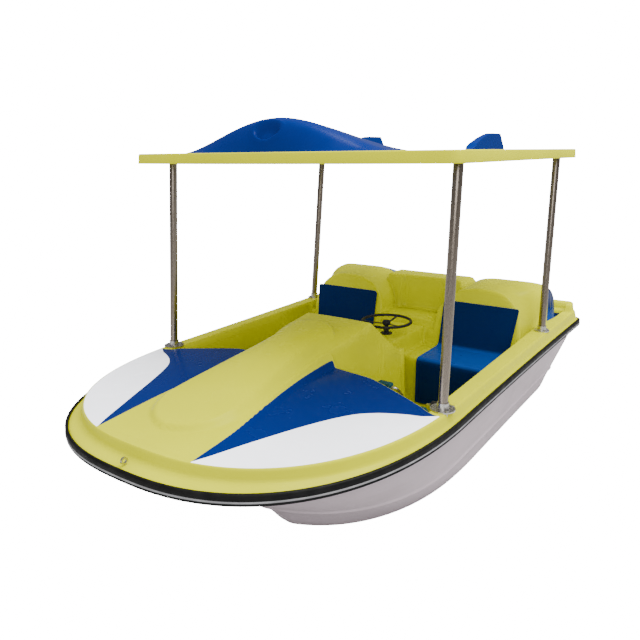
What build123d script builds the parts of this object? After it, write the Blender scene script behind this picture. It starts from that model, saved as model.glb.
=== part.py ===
from build123d import *
import math
import os

# A four-seat fibreglass pedal boat. Millimetres; +X is port, -Y is the bow, +Z is up.
# The origin is on the ground under the middle of the boat.

# Overall size, over the rubber rail
RAIL_BOW_Y = -1595
RAIL_STERN_Y = 1595
RAIL_HALF = 912           # half beam where the bow curve begins
RAIL_HALF_STERN = 948
BOW_START_Y = -383        # the bow curve begins here
BOW_POWER = 2.5           # superellipse exponent of the bow
STRIP_Z = 465             # underside of the strip let into the rail
STRIP_TALL = 14

# Mouldings
WALL = 6
HULL_WALL = 8
FLOOR_TOP = 110
HULL_RIM_Z = 470
JOINT_Z = 478             # hull flange meets deck flange
DECK_Z = 560
RISER_FOOT_Z = 508
RISER_BOW_Y = -1512       # bow end of the riser's foot
PANEL_BOW_Y = -1500       # bow end of the deck's top
FLANGE_EDGE = 8           # thickness of the deck flange at its edge
FOOTWELL_FRONT_Y = -480
SEAT_FRONT_Y = 430
SEAT_Z = 400
BACK_FOOT_Y = 745
BACK_TOP_Y = 838
HUMP_TOP_Z = 800
HUMP_REAR_Y = 1195
REAR_PAN_Y = 1330
REAR_PAN_Z = 505
COAMING_Z = 610
WELL_HALF = 806           # half width of the cockpit
WELL_HALF_STERN = 846
WELL_WIDENS_Y = 1000
LINER_FOOT_HALF = 725     # the liner's wall leans in to clear the hull's side

# Paddle wheel, its tunnel and the crank
CRANK_Y = -48
CRANK_Z = 335
CRANK_THROW = 130
CRANK_REST_DEG = 135      # the port inner pedal is forward and up
BAR_R = 11
BEND_R = 22
WEB_X = [270, 404, 538]   # crank webs, from the tunnel outwards
STUB_X = 612
PADDLE_R = 262
PADDLE_HALF = 150
BLADES = 8
TUNNEL_HALF = 220
TUNNEL_FRONT_Y = -350
TUNNEL_REAR_Y = 250
TUNNEL_TOP_Z = 500
PEDAL_R = 32
PEDAL_LENGTH = 86
RUN_GAP = 0.05            # radial clearance of a running fit
LOOSE_GAP = 0.3           # radial clearance of the rod's rear eye

# Hood over the wheel, and console
HOOD_REAR_Y = -80
HOOD_FOOT_Y = 205
HOOD_HALF_TOP = 204
HOOD_HALF_FOOT = 236
CONSOLE_TOP_Z = 510
CONSOLE_HALF = 118
LEDGE_Z = 555

# Posts and roof
POST_R = 21.2
POST_BASES = {"front": (837, -540), "rear": (856, 896)}
POST_TOPS = {"front": (823, -455), "rear": (831, 994)}
BASE_FLANGE_R = {"front": 55, "rear": 45}
TOP_FLANGE_R = 40
FLANGE_T = 6
ROOF_RIM_Z = 1592
ROOF_UNDER_Z = 1624
ROOF_TOP_Z = 1630
ROOF_HALF = 905
ROOF_REAR_Y = 1180
ROOF_CORNER_Y = -640
ROOF_FRONT_Y = -740
SCOOP_X = 430
SCOOP_TALL = 105

# Steering
COLUMN_Y = 485
WHEEL_Z = 592
WHEEL_R = 155
RIM_R = 10
ARM_R = 90                # steering arm and tiller arm, pin to pin
ROD_Z = 466
STOCK_Y = 1440
STOCK_R = 12.5

# Small fittings
PLUG_X = 300
PLUG_Z = 200
BOW_EYE = Pos(0, -1546, 497.5) * Rot(17.2, 0, 0)   # on the rim, tilted with it

SIDES = {"port": 1, "starboard": -1}


# ---------------------------------------------------------------- helpers
def box(x0, x1, y0, y1, z0, z1):
    """A box between two corners."""
    size = (x1 - x0, y1 - y0, z1 - z0)
    middle = ((x0 + x1) / 2, (y0 + y1) / 2, (z0 + z1) / 2)
    return Pos(*middle) * Box(*size)


def rod(start, end, radius):
    """A round bar between two points."""
    axis = Vector(*end) - Vector(*start)
    plane = Plane(origin=start, z_dir=axis)
    return extrude(plane * Circle(radius), axis.length)


def mirrored(shape, side):
    """The port shape, or its mirror image for starboard."""
    return shape if side == "port" else mirror(shape, about=Plane.YZ)


def side_plate(points, x0, x1):
    """A (y, z) polygon extruded along X."""
    outline = make_face(Polyline(*[(x0, y, z) for y, z in points], close=True))
    return extrude(outline, amount=x1 - x0, dir=(1, 0, 0))


def boat_outline(z, inset, bow_y, stern_y, half=RAIL_HALF, half_stern=RAIL_HALF_STERN, start_y=BOW_START_Y):
    """A closed plan outline: superellipse bow, gently curved sides, square stern with round corners."""
    corner = 70
    front = half - inset
    back = half_stern - inset
    length = start_y - bow_y
    steps = 20
    bow = []
    for i in range(steps + 1):
        turn = math.pi * i / steps
        cosine = math.cos(turn)
        x = front * math.copysign(abs(cosine) ** (2 / BOW_POWER), cosine)
        y = start_y - length * abs(math.sin(turn)) ** (2 / BOW_POWER)
        bow.append((x, y, z))
    bow[0] = (front, start_y, z)
    bow[-1] = (-front, start_y, z)
    corner_y = stern_y - corner
    mid = (front + 0.36 * (back - front), (start_y + corner_y) / 2)
    cut = corner * (1 - math.sqrt(0.5))
    edges = [
        Spline(*bow, tangents=[(0, -1, 0), (0, 1, 0)]),
        ThreePointArc((-front, start_y, z), (-mid[0], mid[1], z), (-back, corner_y, z)),
        ThreePointArc((-back, corner_y, z), (cut - back, stern_y - cut, z), (corner - back, stern_y, z)),
        Line((corner - back, stern_y, z), (back - corner, stern_y, z)),
        ThreePointArc((back - corner, stern_y, z), (back - cut, stern_y - cut, z), (back, corner_y, z)),
        ThreePointArc((back, corner_y, z), (mid[0], mid[1], z), (front, start_y, z)),
    ]
    return Face(Wire(edges))


def prism(height, *level):
    """A boat outline extruded upwards."""
    return extrude(boat_outline(*level), height, dir=(0, 0, 1))


def stack(levels):
    """A solid through a pile of boat outlines, straight between each two."""
    faces = [boat_outline(*level) for level in levels]
    parts = [loft([low, high], ruled=True) for low, high in zip(faces, faces[1:])]
    body = parts[0]
    for piece in parts[1:]:
        body = body + piece
    return body


# ---------------------------------------------------------------- hull
# z, half width where the bow curve begins, half width at the stern, where the curve begins, bow end, stern end
HULL_LEVELS = [
    (0, 705, 712, 100, -935, 1300),
    (35, 744, 752, 100, -985, 1322),
    (130, 786, 800, -150, -1075, 1378),
    (300, 838, 862, -250, -1290, 1480),
    (HULL_RIM_Z, 880, 916, BOW_START_Y, -1500, 1566),
]


def hull_solid(inset):
    """The hull filled, or its inside when inset by the wall."""
    heights = [level[0] for level in HULL_LEVELS]
    if inset:
        heights[0] = inset
        heights[1] += 4
        heights[-1] = JOINT_Z
    levels = []
    for z, (_, half, half_stern, start_y, bow_y, stern_y) in zip(heights, HULL_LEVELS):
        levels.append((z, inset, bow_y + inset, stern_y - inset, half, half_stern, start_y))
    return stack(levels)


def hull_shell():
    rim = prism(JOINT_Z - HULL_RIM_Z, HULL_RIM_Z, 12, -1583, 1583)
    body = hull_solid(0) + rim - hull_solid(HULL_WALL)
    well = box(-TUNNEL_HALF, TUNNEL_HALF, TUNNEL_FRONT_Y, TUNNEL_REAR_Y, -1, HULL_WALL + 1)
    tube = rod((0, STOCK_Y, 0), (0, STOCK_Y, 430), STOCK_R + 5)
    plug = rod((PLUG_X, 1395, PLUG_Z), (PLUG_X, 1600, PLUG_Z), 12)
    return body - well - tube - plug - BOW_EYE * rod((0, 0, -40), (0, 0, 40), 5)


def paddle_tunnel():
    outside = box(-TUNNEL_HALF, TUNNEL_HALF, TUNNEL_FRONT_Y, TUNNEL_REAR_Y, 0, TUNNEL_TOP_Z)
    half = TUNNEL_HALF - WALL
    inside = box(-half, half, TUNNEL_FRONT_Y + WALL, TUNNEL_REAR_Y - WALL, -1, TUNNEL_TOP_Z + 1)
    shaft = rod((-300, CRANK_Y, CRANK_Z), (300, CRANK_Y, CRANK_Z), BAR_R + 3)
    return outside - inside - shaft


def rub_rail():
    outside = stack([
        (456, 5, -1590, 1590),
        (463, 0, RAIL_BOW_Y + 1, RAIL_STERN_Y - 1),
        (497, 0, RAIL_BOW_Y + 1, RAIL_STERN_Y - 1),
        (504, 6, -1589, 1589),
    ])
    inside = prism(50, 455, 12, -1583, 1583)
    return outside - inside - rail_groove(2)


def rail_groove(depth):
    """The ring in which the insert strip lies."""
    outside = prism(STRIP_TALL, STRIP_Z, -4, RAIL_BOW_Y - 4, RAIL_STERN_Y + 4)
    inside = prism(STRIP_TALL + 2, STRIP_Z - 1, depth, RAIL_BOW_Y + 1 + depth, RAIL_STERN_Y - 1 - depth)
    return outside - inside


def rail_insert():
    outside = prism(STRIP_TALL, STRIP_Z, -1, RAIL_BOW_Y, RAIL_STERN_Y)
    inside = prism(STRIP_TALL + 2, STRIP_Z - 1, 2, RAIL_BOW_Y + 3, RAIL_STERN_Y - 3)
    return outside - inside


# ---------------------------------------------------------------- deck
def deck_solid(inset):
    """The rim, riser and flat top of the deck, filled."""
    flange = [
        (JOINT_Z, 12, -1583, 1583),
        (JOINT_Z + FLANGE_EDGE, 12, -1583, 1583),
        (RISER_FOOT_Z, 26, RISER_BOW_Y, 1566),
        (DECK_Z - 10, 32, RISER_BOW_Y + 4, 1558),
        (DECK_Z, 44, PANEL_BOW_Y, 1546),
    ]
    if not inset:
        return stack(flange)
    return stack([
        (JOINT_Z - 1, 26 + inset, RISER_BOW_Y + inset, 1566 - inset),
        (RISER_FOOT_Z, 26 + inset, RISER_BOW_Y + inset, 1566 - inset),
        (DECK_Z - 10 - inset / 2, 32 + inset, RISER_BOW_Y + 4 + inset, 1558 - inset),
        (DECK_Z - inset, 44 + inset, PANEL_BOW_Y + inset, 1546 - inset),
    ])


# Crest height of the hood along the boat
HOOD_CREST = [(-1440, 562), (-1340, 574), (-1200, 612), (-1000, 652), (-800, 682), (-600, 708), (-480, 724),
              (-250, 744), (HOOD_REAR_Y, 744)]


def between(table, y):
    """A value read off a table of (y, value) rows."""
    for (y0, v0), (y1, v1) in zip(table, table[1:]):
        if y <= y1:
            return v0 + (v1 - v0) * (y - y0) / (y1 - y0)
    return table[-1][1]


def ease(value):
    """0 to 1 with soft ends."""
    value = min(max(value, 0), 1)
    return value * value * (3 - 2 * value)


def foredeck_top(x, y):
    """Height of the foredeck: a crown that rises towards the hood, and the hood itself."""
    along = ease((y + 1440) / 900)
    crown = 62 * along * (1 - ease((abs(x) - 200) / 500))
    foot = DECK_Z + crown
    crest = between(HOOD_CREST, y)
    flat = 150 + 30 * along
    edge = 330 - 85 * along
    return foot + max(crest - foot, 0) * (1 - ease((abs(x) - flat) / (edge - flat)))


def foredeck_crown(drop):
    """The crown and hood of the foredeck as a filled body, lowered by drop."""
    sections = []
    for y in (-1430, -1340, -1200, -1000, -800, -640, FOOTWELL_FRONT_Y - drop):
        half = 700
        xs = [half * i / 14 for i in range(-14, 15)]
        top = Spline(*[(x, y, foredeck_top(x, y) - drop) for x in xs])
        low = DECK_Z - 60
        walls = Polyline((half, y, top.position_at(1).Z), (half, y, low), (-half, y, low), (-half, y, top.position_at(0).Z))
        sections.append(Face(Wire([top, *walls.edges()])))
    panel = prism(400, DECK_Z - 70, 44 + drop, PANEL_BOW_Y + drop, 1546)
    return loft(sections) & panel


def deck_shell():
    """The whole deck moulding without hood, hollow below, before it is divided."""
    return deck_solid(0) - deck_solid(WALL)


def well_cut():
    """The opening of the cockpit, from the foredeck to the stern coaming."""
    plan = Polyline(
        (WELL_HALF, FOOTWELL_FRONT_Y), (WELL_HALF, WELL_WIDENS_Y), (WELL_HALF_STERN, REAR_PAN_Y),
        (WELL_HALF_STERN, 1500), (-WELL_HALF_STERN, 1500), (-WELL_HALF_STERN, REAR_PAN_Y),
        (-WELL_HALF, WELL_WIDENS_Y), (-WELL_HALF, FOOTWELL_FRONT_Y), close=True)
    return extrude(Pos(0, 0, 470) * make_face(plan), 200, dir=(0, 0, 1))


def base_screws(radius, z0, z1):
    """Bars at the four screws of each post base."""
    bars = []
    for end, (x, y) in POST_BASES.items():
        ring = BASE_FLANGE_R[end] - 9
        for sign in SIDES.values():
            for i in range(4):
                turn = math.radians(45 + 90 * i)
                spot = (sign * x + ring * math.cos(turn), y + ring * math.sin(turn))
                bars.append(rod((*spot, z0), (*spot, z1), radius))
    return bars


def cut_all(body, tools):
    for tool in tools:
        body = body - tool
    return body


def foredeck():
    region = box(-1000, 1000, -1700, FOOTWELL_FRONT_Y, 450, 900)
    body = (deck_solid(0) & region) + foredeck_crown(0)
    hollow = deck_solid(WALL) & box(-1000, 1000, -1700, FOOTWELL_FRONT_Y - WALL, 450, 900)
    body = body - hollow - foredeck_crown(WALL + 2)
    body = body - BOW_EYE * rod((0, 0, -40), (0, 0, 40), 5)
    return cut_all(body, base_screws(4.1, 500, 600))


def side_deck(side):
    region = box(0, 1000, FOOTWELL_FRONT_Y, REAR_PAN_Y, 450, 600)
    body = (deck_shell() & region) - well_cut()
    edge = Polyline((WELL_HALF, BACK_FOOT_Y), (WELL_HALF, WELL_WIDENS_Y), (WELL_HALF_STERN, REAR_PAN_Y),
                    (WELL_HALF_STERN + 6, REAR_PAN_Y), (WELL_HALF + 6, WELL_WIDENS_Y), (WELL_HALF + 6, BACK_FOOT_Y),
                    close=True)
    body = body + extrude(Pos(0, 0, 500) * make_face(edge), DECK_Z - WALL - 500, dir=(0, 0, 1))
    return mirrored(cut_all(body, base_screws(4.1, 500, 600)), side)


def stern_deck():
    region = box(-1000, 1000, REAR_PAN_Y, 1700, 450, 600)
    body = (deck_shell() & region) - well_cut()
    ring = prism(COAMING_Z - DECK_Z, DECK_Z, 52, -1400, 1540)
    ring = ring - prism(COAMING_Z - WALL - DECK_Z + 1, DECK_Z - 1, 58, -1400, 1534)
    ring = ring - prism(COAMING_Z - DECK_Z + 2, DECK_Z - 1, 94, -1400, 1506)
    ring = ring & box(-1000, 1000, 1440, 1700, 500, 700)
    lip = box(-WELL_HALF_STERN, WELL_HALF_STERN, 1500, 1506, REAR_PAN_Z, COAMING_Z)
    edge = box(WELL_HALF_STERN, WELL_HALF_STERN + 6, REAR_PAN_Y, 1506, 500, DECK_Z - WALL)
    return body + ring + lip + edge + mirrored(edge, "starboard")


# ---------------------------------------------------------------- hood and console
def hood_section(y, top_z, inset, low):
    """A box-like section with sloping sides and soft top corners."""
    foot = HOOD_HALF_FOOT - inset
    top = HOOD_HALF_TOP - inset
    z = top_z - inset
    soft = min(30, (z - low) / 3)
    lean = (foot - top) * soft / (z - low)
    edges = [
        Line((-foot, y, low), (-top - lean, y, z - soft)),
        ThreePointArc((-top - lean, y, z - soft), (-top + 3, y, z - 0.35 * soft), (-top + soft, y, z)),
        Line((-top + soft, y, z), (top - soft, y, z)),
        ThreePointArc((top - soft, y, z), (top - 3, y, z - 0.35 * soft), (top + lean, y, z - soft)),
        Line((top + lean, y, z - soft), (foot, y, low)),
        Line((foot, y, low), (-foot, y, low)),
    ]
    return Face(Wire(edges))


def hood_solid(inset):
    low = TUNNEL_TOP_Z - (1 if inset else 0)
    front_y = FOOTWELL_FRONT_Y + inset
    front = loft([
        hood_section(front_y, between(HOOD_CREST, FOOTWELL_FRONT_Y), inset, low),
        hood_section(-250, between(HOOD_CREST, -250), inset, low),
    ], ruled=True)
    middle = loft([
        hood_section(-250, between(HOOD_CREST, -250), inset, low),
        hood_section(HOOD_REAR_Y, between(HOOD_CREST, HOOD_REAR_Y), inset, low),
    ], ruled=True)
    rear = loft([
        hood_section(HOOD_REAR_Y, between(HOOD_CREST, HOOD_REAR_Y), inset, low),
        hood_section(HOOD_FOOT_Y - inset, CONSOLE_TOP_Z + inset, inset, low),
    ], ruled=True)
    return front + middle + rear


def wheel_hood():
    """The cover over the top of the paddle wheel, open below."""
    return hood_solid(0) - hood_solid(WALL)


def centre_console():
    """The bridge from the hood to the seats; the steering column stands on it."""
    rear_y = 798
    out = Polyline((-CONSOLE_HALF, 0, CONSOLE_TOP_Z), (CONSOLE_HALF, 0, CONSOLE_TOP_Z),
                   (CONSOLE_HALF + 10, 0, FLOOR_TOP), (-CONSOLE_HALF - 10, 0, FLOOR_TOP), close=True)
    half = CONSOLE_HALF - WALL
    hole = Polyline((-half, 0, CONSOLE_TOP_Z - WALL), (half, 0, CONSOLE_TOP_Z - WALL),
                    (half + 10, 0, FLOOR_TOP - 1), (-half - 10, 0, FLOOR_TOP - 1), close=True)
    front_y = TUNNEL_REAR_Y
    body = extrude(Pos(0, front_y, 0) * make_face(out), rear_y - front_y, dir=(0, 1, 0))
    body = body - extrude(Pos(0, front_y - 1, 0) * make_face(hole), rear_y - front_y + 2, dir=(0, 1, 0))
    lid = box(-HOOD_HALF_FOOT, HOOD_HALF_FOOT, HOOD_FOOT_Y, front_y, TUNNEL_TOP_Z, CONSOLE_TOP_Z)
    column = rod((0, COLUMN_Y, 400), (0, COLUMN_Y, 600), 17)
    return body + lid - column


# ---------------------------------------------------------------- cockpit and seats
def cockpit_liner(side):
    """Floor, walls and front seat box of one side, open above."""
    low = FLOOR_TOP - WALL
    tunnel = TUNNEL_HALF + WALL
    console = CONSOLE_HALF + 11
    floor = box(tunnel, WELL_HALF, FOOTWELL_FRONT_Y, SEAT_FRONT_Y, low, FLOOR_TOP)
    floor = floor + box(console, tunnel, TUNNEL_REAR_Y, SEAT_FRONT_Y, low, FLOOR_TOP)
    front = box(tunnel, WELL_HALF, FOOTWELL_FRONT_Y, FOOTWELL_FRONT_Y + WALL, low, TUNNEL_TOP_Z - 1)
    inner = box(TUNNEL_HALF, tunnel, FOOTWELL_FRONT_Y, TUNNEL_REAR_Y, low, TUNNEL_TOP_Z - 1)
    apron = box(console, WELL_HALF, SEAT_FRONT_Y - WALL, SEAT_FRONT_Y, low, SEAT_Z)
    pan = box(console, WELL_HALF, SEAT_FRONT_Y - WALL, BACK_FOOT_Y, SEAT_Z - WALL, SEAT_Z)
    lean = Polyline((0, 0, low), (LINER_FOOT_HALF, 0, low), (WELL_HALF, 0, DECK_Z), (0, 0, DECK_Z), close=True)
    inside = extrude(Pos(0, FOOTWELL_FRONT_Y, 0) * make_face(lean), BACK_FOOT_Y - FOOTWELL_FRONT_Y, dir=(0, 1, 0))
    skin = (inside - Pos(-WALL, 0, 0) * inside) & box(400, 1000, FOOTWELL_FRONT_Y, BACK_FOOT_Y, low, DECK_Z)
    trimmed = (floor + front + apron + pan) & inside
    shaft = rod((200, CRANK_Y, CRANK_Z), (300, CRANK_Y, CRANK_Z), BAR_R + 3)
    return mirrored(trimmed + inner + skin - shaft, side)


def hump_arch(inset):
    """The section of a backrest hump across the boat."""
    middle = 503
    half = 297 - inset
    spring_z = 560
    rise = HUMP_TOP_Z - spring_z - inset
    points = []
    steps = 16
    for i in range(steps + 1):
        turn = math.pi * i / steps
        cosine = math.cos(turn)
        x = middle - half * math.copysign(abs(cosine) ** 0.77, cosine)
        points.append((x, 0, spring_z + rise * math.sin(turn) ** 0.77 if 0 < i < steps else spring_z))
    low = SEAT_Z - (1 if inset else 0)
    arch = Spline(*points)
    sides = Polyline(points[-1], (middle + half, 0, low), (middle - half, 0, low), points[0])
    return Face(Wire([arch, *sides.edges()]))


def back_profile(inset, low):
    """The hump from the side: raked front, level top, sloping rear."""
    return [(BACK_FOOT_Y + inset, low), (BACK_TOP_Y + inset, HUMP_TOP_Z + 1 - inset), (HUMP_REAR_Y - inset, HUMP_TOP_Z + 1 - inset),
            (REAR_PAN_Y - inset, REAR_PAN_Z), (REAR_PAN_Y - inset, low)]


def hump_solid(inset):
    arch = extrude(Pos(0, 700, 0) * hump_arch(inset), 700, dir=(0, 1, 0))
    low = SEAT_Z - (1 if inset else 0)
    return arch & side_plate(back_profile(inset, low), 100, 900)


def backrest_hump(side):
    return mirrored(hump_solid(0) - hump_solid(WALL), side)


def centre_alcove():
    """The stepped bridge between the humps: ledge, back wall, top and rear slope, one bent sheet."""
    outside = [(799, SEAT_Z), (808, LEDGE_Z), (1000, LEDGE_Z), (1032, HUMP_TOP_Z - 6), (HUMP_REAR_Y, HUMP_TOP_Z - 6),
               (REAR_PAN_Y, REAR_PAN_Z), (REAR_PAN_Y, SEAT_Z)]
    inside = [(806, SEAT_Z - 1), (814, LEDGE_Z - WALL), (1005, LEDGE_Z - WALL), (1037, HUMP_TOP_Z - 12),
              (HUMP_REAR_Y - 4, HUMP_TOP_Z - 12), (REAR_PAN_Y - WALL, REAR_PAN_Z - 2), (REAR_PAN_Y - WALL, SEAT_Z - 1)]
    half = 205
    sheet = side_plate(outside, -half, half) - side_plate(inside, -half - 1, half + 1)
    window = box(-110, 110, 780, 1400, SEAT_Z - 1, 500)
    return sheet - window


def rear_bench():
    """The rear seat pan, from the humps to the stern coaming."""
    return box(-WELL_HALF_STERN, WELL_HALF_STERN, REAR_PAN_Y, 1506, REAR_PAN_Z - WALL, REAR_PAN_Z)


def front_seat_shell(side):
    """The navy front seat: apron, pan and back in one bent sheet."""
    t = 4
    gap = 0.5
    apron_y = SEAT_FRONT_Y - WALL - gap
    back = BACK_TOP_Y - BACK_FOOT_Y
    rise = HUMP_TOP_Z - SEAT_Z
    top_z = 697
    top_y = BACK_FOOT_Y + back * (top_z - SEAT_Z) / rise - gap
    foot_y = BACK_FOOT_Y - gap
    pan_z = SEAT_Z + gap
    profile = [(apron_y, 130), (apron_y, pan_z), (foot_y, pan_z), (top_y, top_z), (top_y - t, top_z),
               (foot_y - t, pan_z + t), (apron_y - t, pan_z + t), (apron_y - t, 130)]
    return mirrored(side_plate(profile, 250, 712), side)


def rear_seat_shell(side):
    """The navy rear seat: a sloping back and a pan."""
    t = 4
    gap = 0.5
    slope = (REAR_PAN_Y - HUMP_REAR_Y) / (HUMP_TOP_Z - REAR_PAN_Z)
    top_z = 760
    low_y = REAR_PAN_Y + gap
    top_y = REAR_PAN_Y - slope * (top_z - REAR_PAN_Z) + gap
    pan_z = REAR_PAN_Z + gap
    profile = [(top_y, top_z), (low_y, pan_z), (1494, pan_z), (1494, pan_z + t), (low_y + t, pan_z + t), (top_y + t, top_z)]
    return mirrored(side_plate(profile, 235, 770), side)


# ---------------------------------------------------------------- posts and roof
def post_bar(end, radius):
    """A port bar along a post's axis, a little longer than the post at both ends."""
    base = Vector(*POST_BASES[end], DECK_Z)
    top = Vector(*POST_TOPS[end], ROOF_UNDER_Z)
    reach = (top - base) * 0.02
    return rod(tuple(base - reach), tuple(top + reach), radius)


def post(end, side):
    tube = post_bar(end, POST_R) - post_bar(end, POST_R - 2)
    trim = box(0, 1000, -1000, 1500, DECK_Z + FLANGE_T, ROOF_UNDER_Z - FLANGE_T)
    return mirrored(tube & trim, side)


def base_flange(end, side):
    x, y = POST_BASES[end]
    plate = rod((x, y, DECK_Z), (x, y, DECK_Z + FLANGE_T), BASE_FLANGE_R[end])
    above = box(0, 1000, -1000, 1500, DECK_Z + FLANGE_T, DECK_Z + FLANGE_T + 26)
    collar = (post_bar(end, POST_R + 5) - post_bar(end, POST_R)) & above
    body = plate + collar
    return mirrored(cut_all(body, base_screws(4.1, 500, 600)), side)


def top_flange(end, side):
    x, y = POST_TOPS[end]
    return mirrored(rod((x, y, ROOF_UNDER_Z - FLANGE_T), (x, y, ROOF_UNDER_Z), TOP_FLANGE_R), side)


def flange_bolts():
    heads = []
    for shank in base_screws(4, DECK_Z - 22, DECK_Z + FLANGE_T):
        centre = shank.center()
        hexagon = Pos(centre.X, centre.Y, DECK_Z + FLANGE_T) * RegularPolygon(7, 6)
        heads.append(shank + extrude(hexagon, 5.5))
    return Compound(children=heads)


def roof_outline(z, inset):
    half = ROOF_HALF - inset
    rear = ROOF_REAR_Y - inset
    corner = 42
    front = ROOF_CORNER_Y + inset
    nose = ROOF_FRONT_Y + inset
    cut = corner * (1 - math.sqrt(0.5))
    edges = [
        ThreePointArc((-half, front + corner, z), (cut - half, front + 6, z), (corner - half, front - 12, z)),
        ThreePointArc((corner - half, front - 12, z), (0, nose, z), (half - corner, front - 12, z)),
        ThreePointArc((half - corner, front - 12, z), (half - cut, front + 6, z), (half, front + corner, z)),
        Line((half, front + corner, z), (half, rear - corner, z)),
        ThreePointArc((half, rear - corner, z), (half - cut, rear - cut, z), (half - corner, rear, z)),
        Line((half - corner, rear, z), (corner - half, rear, z)),
        ThreePointArc((corner - half, rear, z), (cut - half, rear - cut, z), (-half, rear - corner, z)),
        Line((-half, rear - corner, z), (-half, front + corner, z)),
    ]
    return Face(Wire(edges))


def canopy_shell():
    """The roof tray: a flat sheet with a turned-down rim."""
    skirt = loft([roof_outline(ROOF_RIM_Z, 0), roof_outline(ROOF_TOP_Z - 8, 4)], ruled=True)
    cap = loft([roof_outline(ROOF_TOP_Z - 8, 4), roof_outline(ROOF_TOP_Z, 16)], ruled=True)
    hollow = loft([roof_outline(ROOF_RIM_Z - 1, 6), roof_outline(ROOF_UNDER_Z, 12)], ruled=True)
    return skirt + cap - hollow


# Roof dome: place along the boat, half width, height above the roof
DOME = [(-690, 470, 14), (-655, 560, 88), (-600, 620, 152), (-500, 625, 142), (-350, 600, 118), (-150, 520, 84),
        (100, 400, 52), (350, 270, 26), (600, 150, 10)]


def dome_section(y, half, height, drop):
    """A bell-shaped section standing on the roof."""
    base = ROOF_TOP_Z - (1 if drop else 0)
    tall = height - drop
    points = []
    for i in range(13):
        share = -1 + i / 6
        points.append((half * share, y, ROOF_TOP_Z + 3 + (tall - 3) * math.cos(share * math.pi / 2) ** 1.6))
    points[0] = (-half, y, ROOF_TOP_Z + 3)
    points[-1] = (half, y, ROOF_TOP_Z + 3)
    walls = Polyline(points[-1], (half, y, base), (-half, y, base), points[0])
    return Face(Wire([Spline(*points), *walls.edges()]))


def dome_vent():
    """The oval hollow in the front of the dome."""
    return Pos(0, -668, ROOF_TOP_Z + 112) * Rot(-40, 0, 0) * scale(Sphere(1), by=(70, 24, 22))


def canopy_dome():
    body = loft([dome_section(y, half, height, 0) for y, half, height in DOME], ruled=True)
    inside = [(-625, 570, 94), *((y, half - 16, height) for y, half, height in DOME[2:8])]
    hollow = loft([dome_section(y, half, height, 8) for y, half, height in inside], ruled=True)
    return body - hollow - dome_vent()


def scoop_solid(profile, foot_half, top_half):
    """A fin with the given (y, z) profile and drafted sides."""
    top_z = ROOF_TOP_Z + SCOOP_TALL
    foot_z = ROOF_TOP_Z - 1
    section = Polyline((SCOOP_X - foot_half, 0, foot_z), (SCOOP_X - top_half, 0, top_z), (SCOOP_X + top_half, 0, top_z),
                       (SCOOP_X + foot_half, 0, foot_z), close=True)
    drafted = extrude(Pos(0, 500, 0) * make_face(section), 800, dir=(0, 1, 0))
    return drafted & side_plate(profile, SCOOP_X - foot_half, SCOOP_X + foot_half)


def canopy_scoop(side):
    """A hollow fin with a long front ramp, a flat top and a steep rear."""
    z = ROOF_TOP_Z
    tall = SCOOP_TALL
    profile = [(620, z), (700, z + 42), (800, z + 74), (950, z + tall), (1130, z + tall), (1165, z)]
    inside = [(660, z - 1), (704, z + 34), (804, z + 66), (954, z + tall - 8), (1122, z + tall - 8), (1155, z - 1)]
    return mirrored(scoop_solid(profile, 34, 14) - scoop_solid(inside, 27, 8), side)


# ---------------------------------------------------------------- crank and paddle wheel
def at_crank(shape):
    """Turns a shape made about the X axis to the rest angle and puts it on the crank axis."""
    return Pos(0, CRANK_Y, CRANK_Z) * Rot(CRANK_REST_DEG - 90, 0, 0) * shape


def crankshaft():
    """One bent bar with two throws on each side; the starboard throws are opposite."""
    half = [(0, 0)]
    offset = 0
    for i, x in enumerate(WEB_X):
        target = [CRANK_THROW, -CRANK_THROW, 0][i]
        half += [(x, offset), (x, target)]
        offset = target
    half.append((STUB_X, 0))
    port = [(x, 0, z) for x, z in half]
    starboard = [(-x, 0, -z) for x, z in half[:0:-1]]
    path = FilletPolyline(*starboard, *port[1:], radius=BEND_R)
    section = Plane(origin=path.position_at(0), z_dir=path.tangent_at(0)) * Circle(BAR_R)
    return at_crank(sweep(section, path=path))


def paddle_hub():
    tube = rod((-PADDLE_HALF, 0, 0), (PADDLE_HALF, 0, 0), 30) - rod((-200, 0, 0), (200, 0, 0), BAR_R)
    return at_crank(tube)


def paddle_discs():
    discs = []
    for sign in (-1, 1):
        ring = rod((sign * PADDLE_HALF, 0, 0), (sign * (PADDLE_HALF + 5), 0, 0), 150)
        ring = ring - rod((-200, 0, 0), (200, 0, 0), BAR_R)
        for i in range(BLADES):
            ring = ring - Rot(360 * i / BLADES + 22.5, 0, 0) * Pos(sign * PADDLE_HALF, 0, 88) * Rot(0, 90, 0) * Cylinder(20, 20)
        discs.append(at_crank(ring))
    return Compound(children=discs)


def paddle_blades():
    blades = []
    for i in range(BLADES):
        blade = box(-PADDLE_HALF, PADDLE_HALF, -2.5, 2.5, 30.2, PADDLE_R)
        blades.append(at_crank(Rot(360 * i / BLADES, 0, 0) * blade))
    return Compound(children=blades)


def pedal_offset(side, place):
    """Middle of a pedal in the crank's own frame: (x, z)."""
    first = 0 if place == "inner" else 1
    x = (WEB_X[first] + WEB_X[first + 1]) / 2
    z = CRANK_THROW if place == "inner" else -CRANK_THROW
    return SIDES[side] * x, SIDES[side] * z


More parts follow.
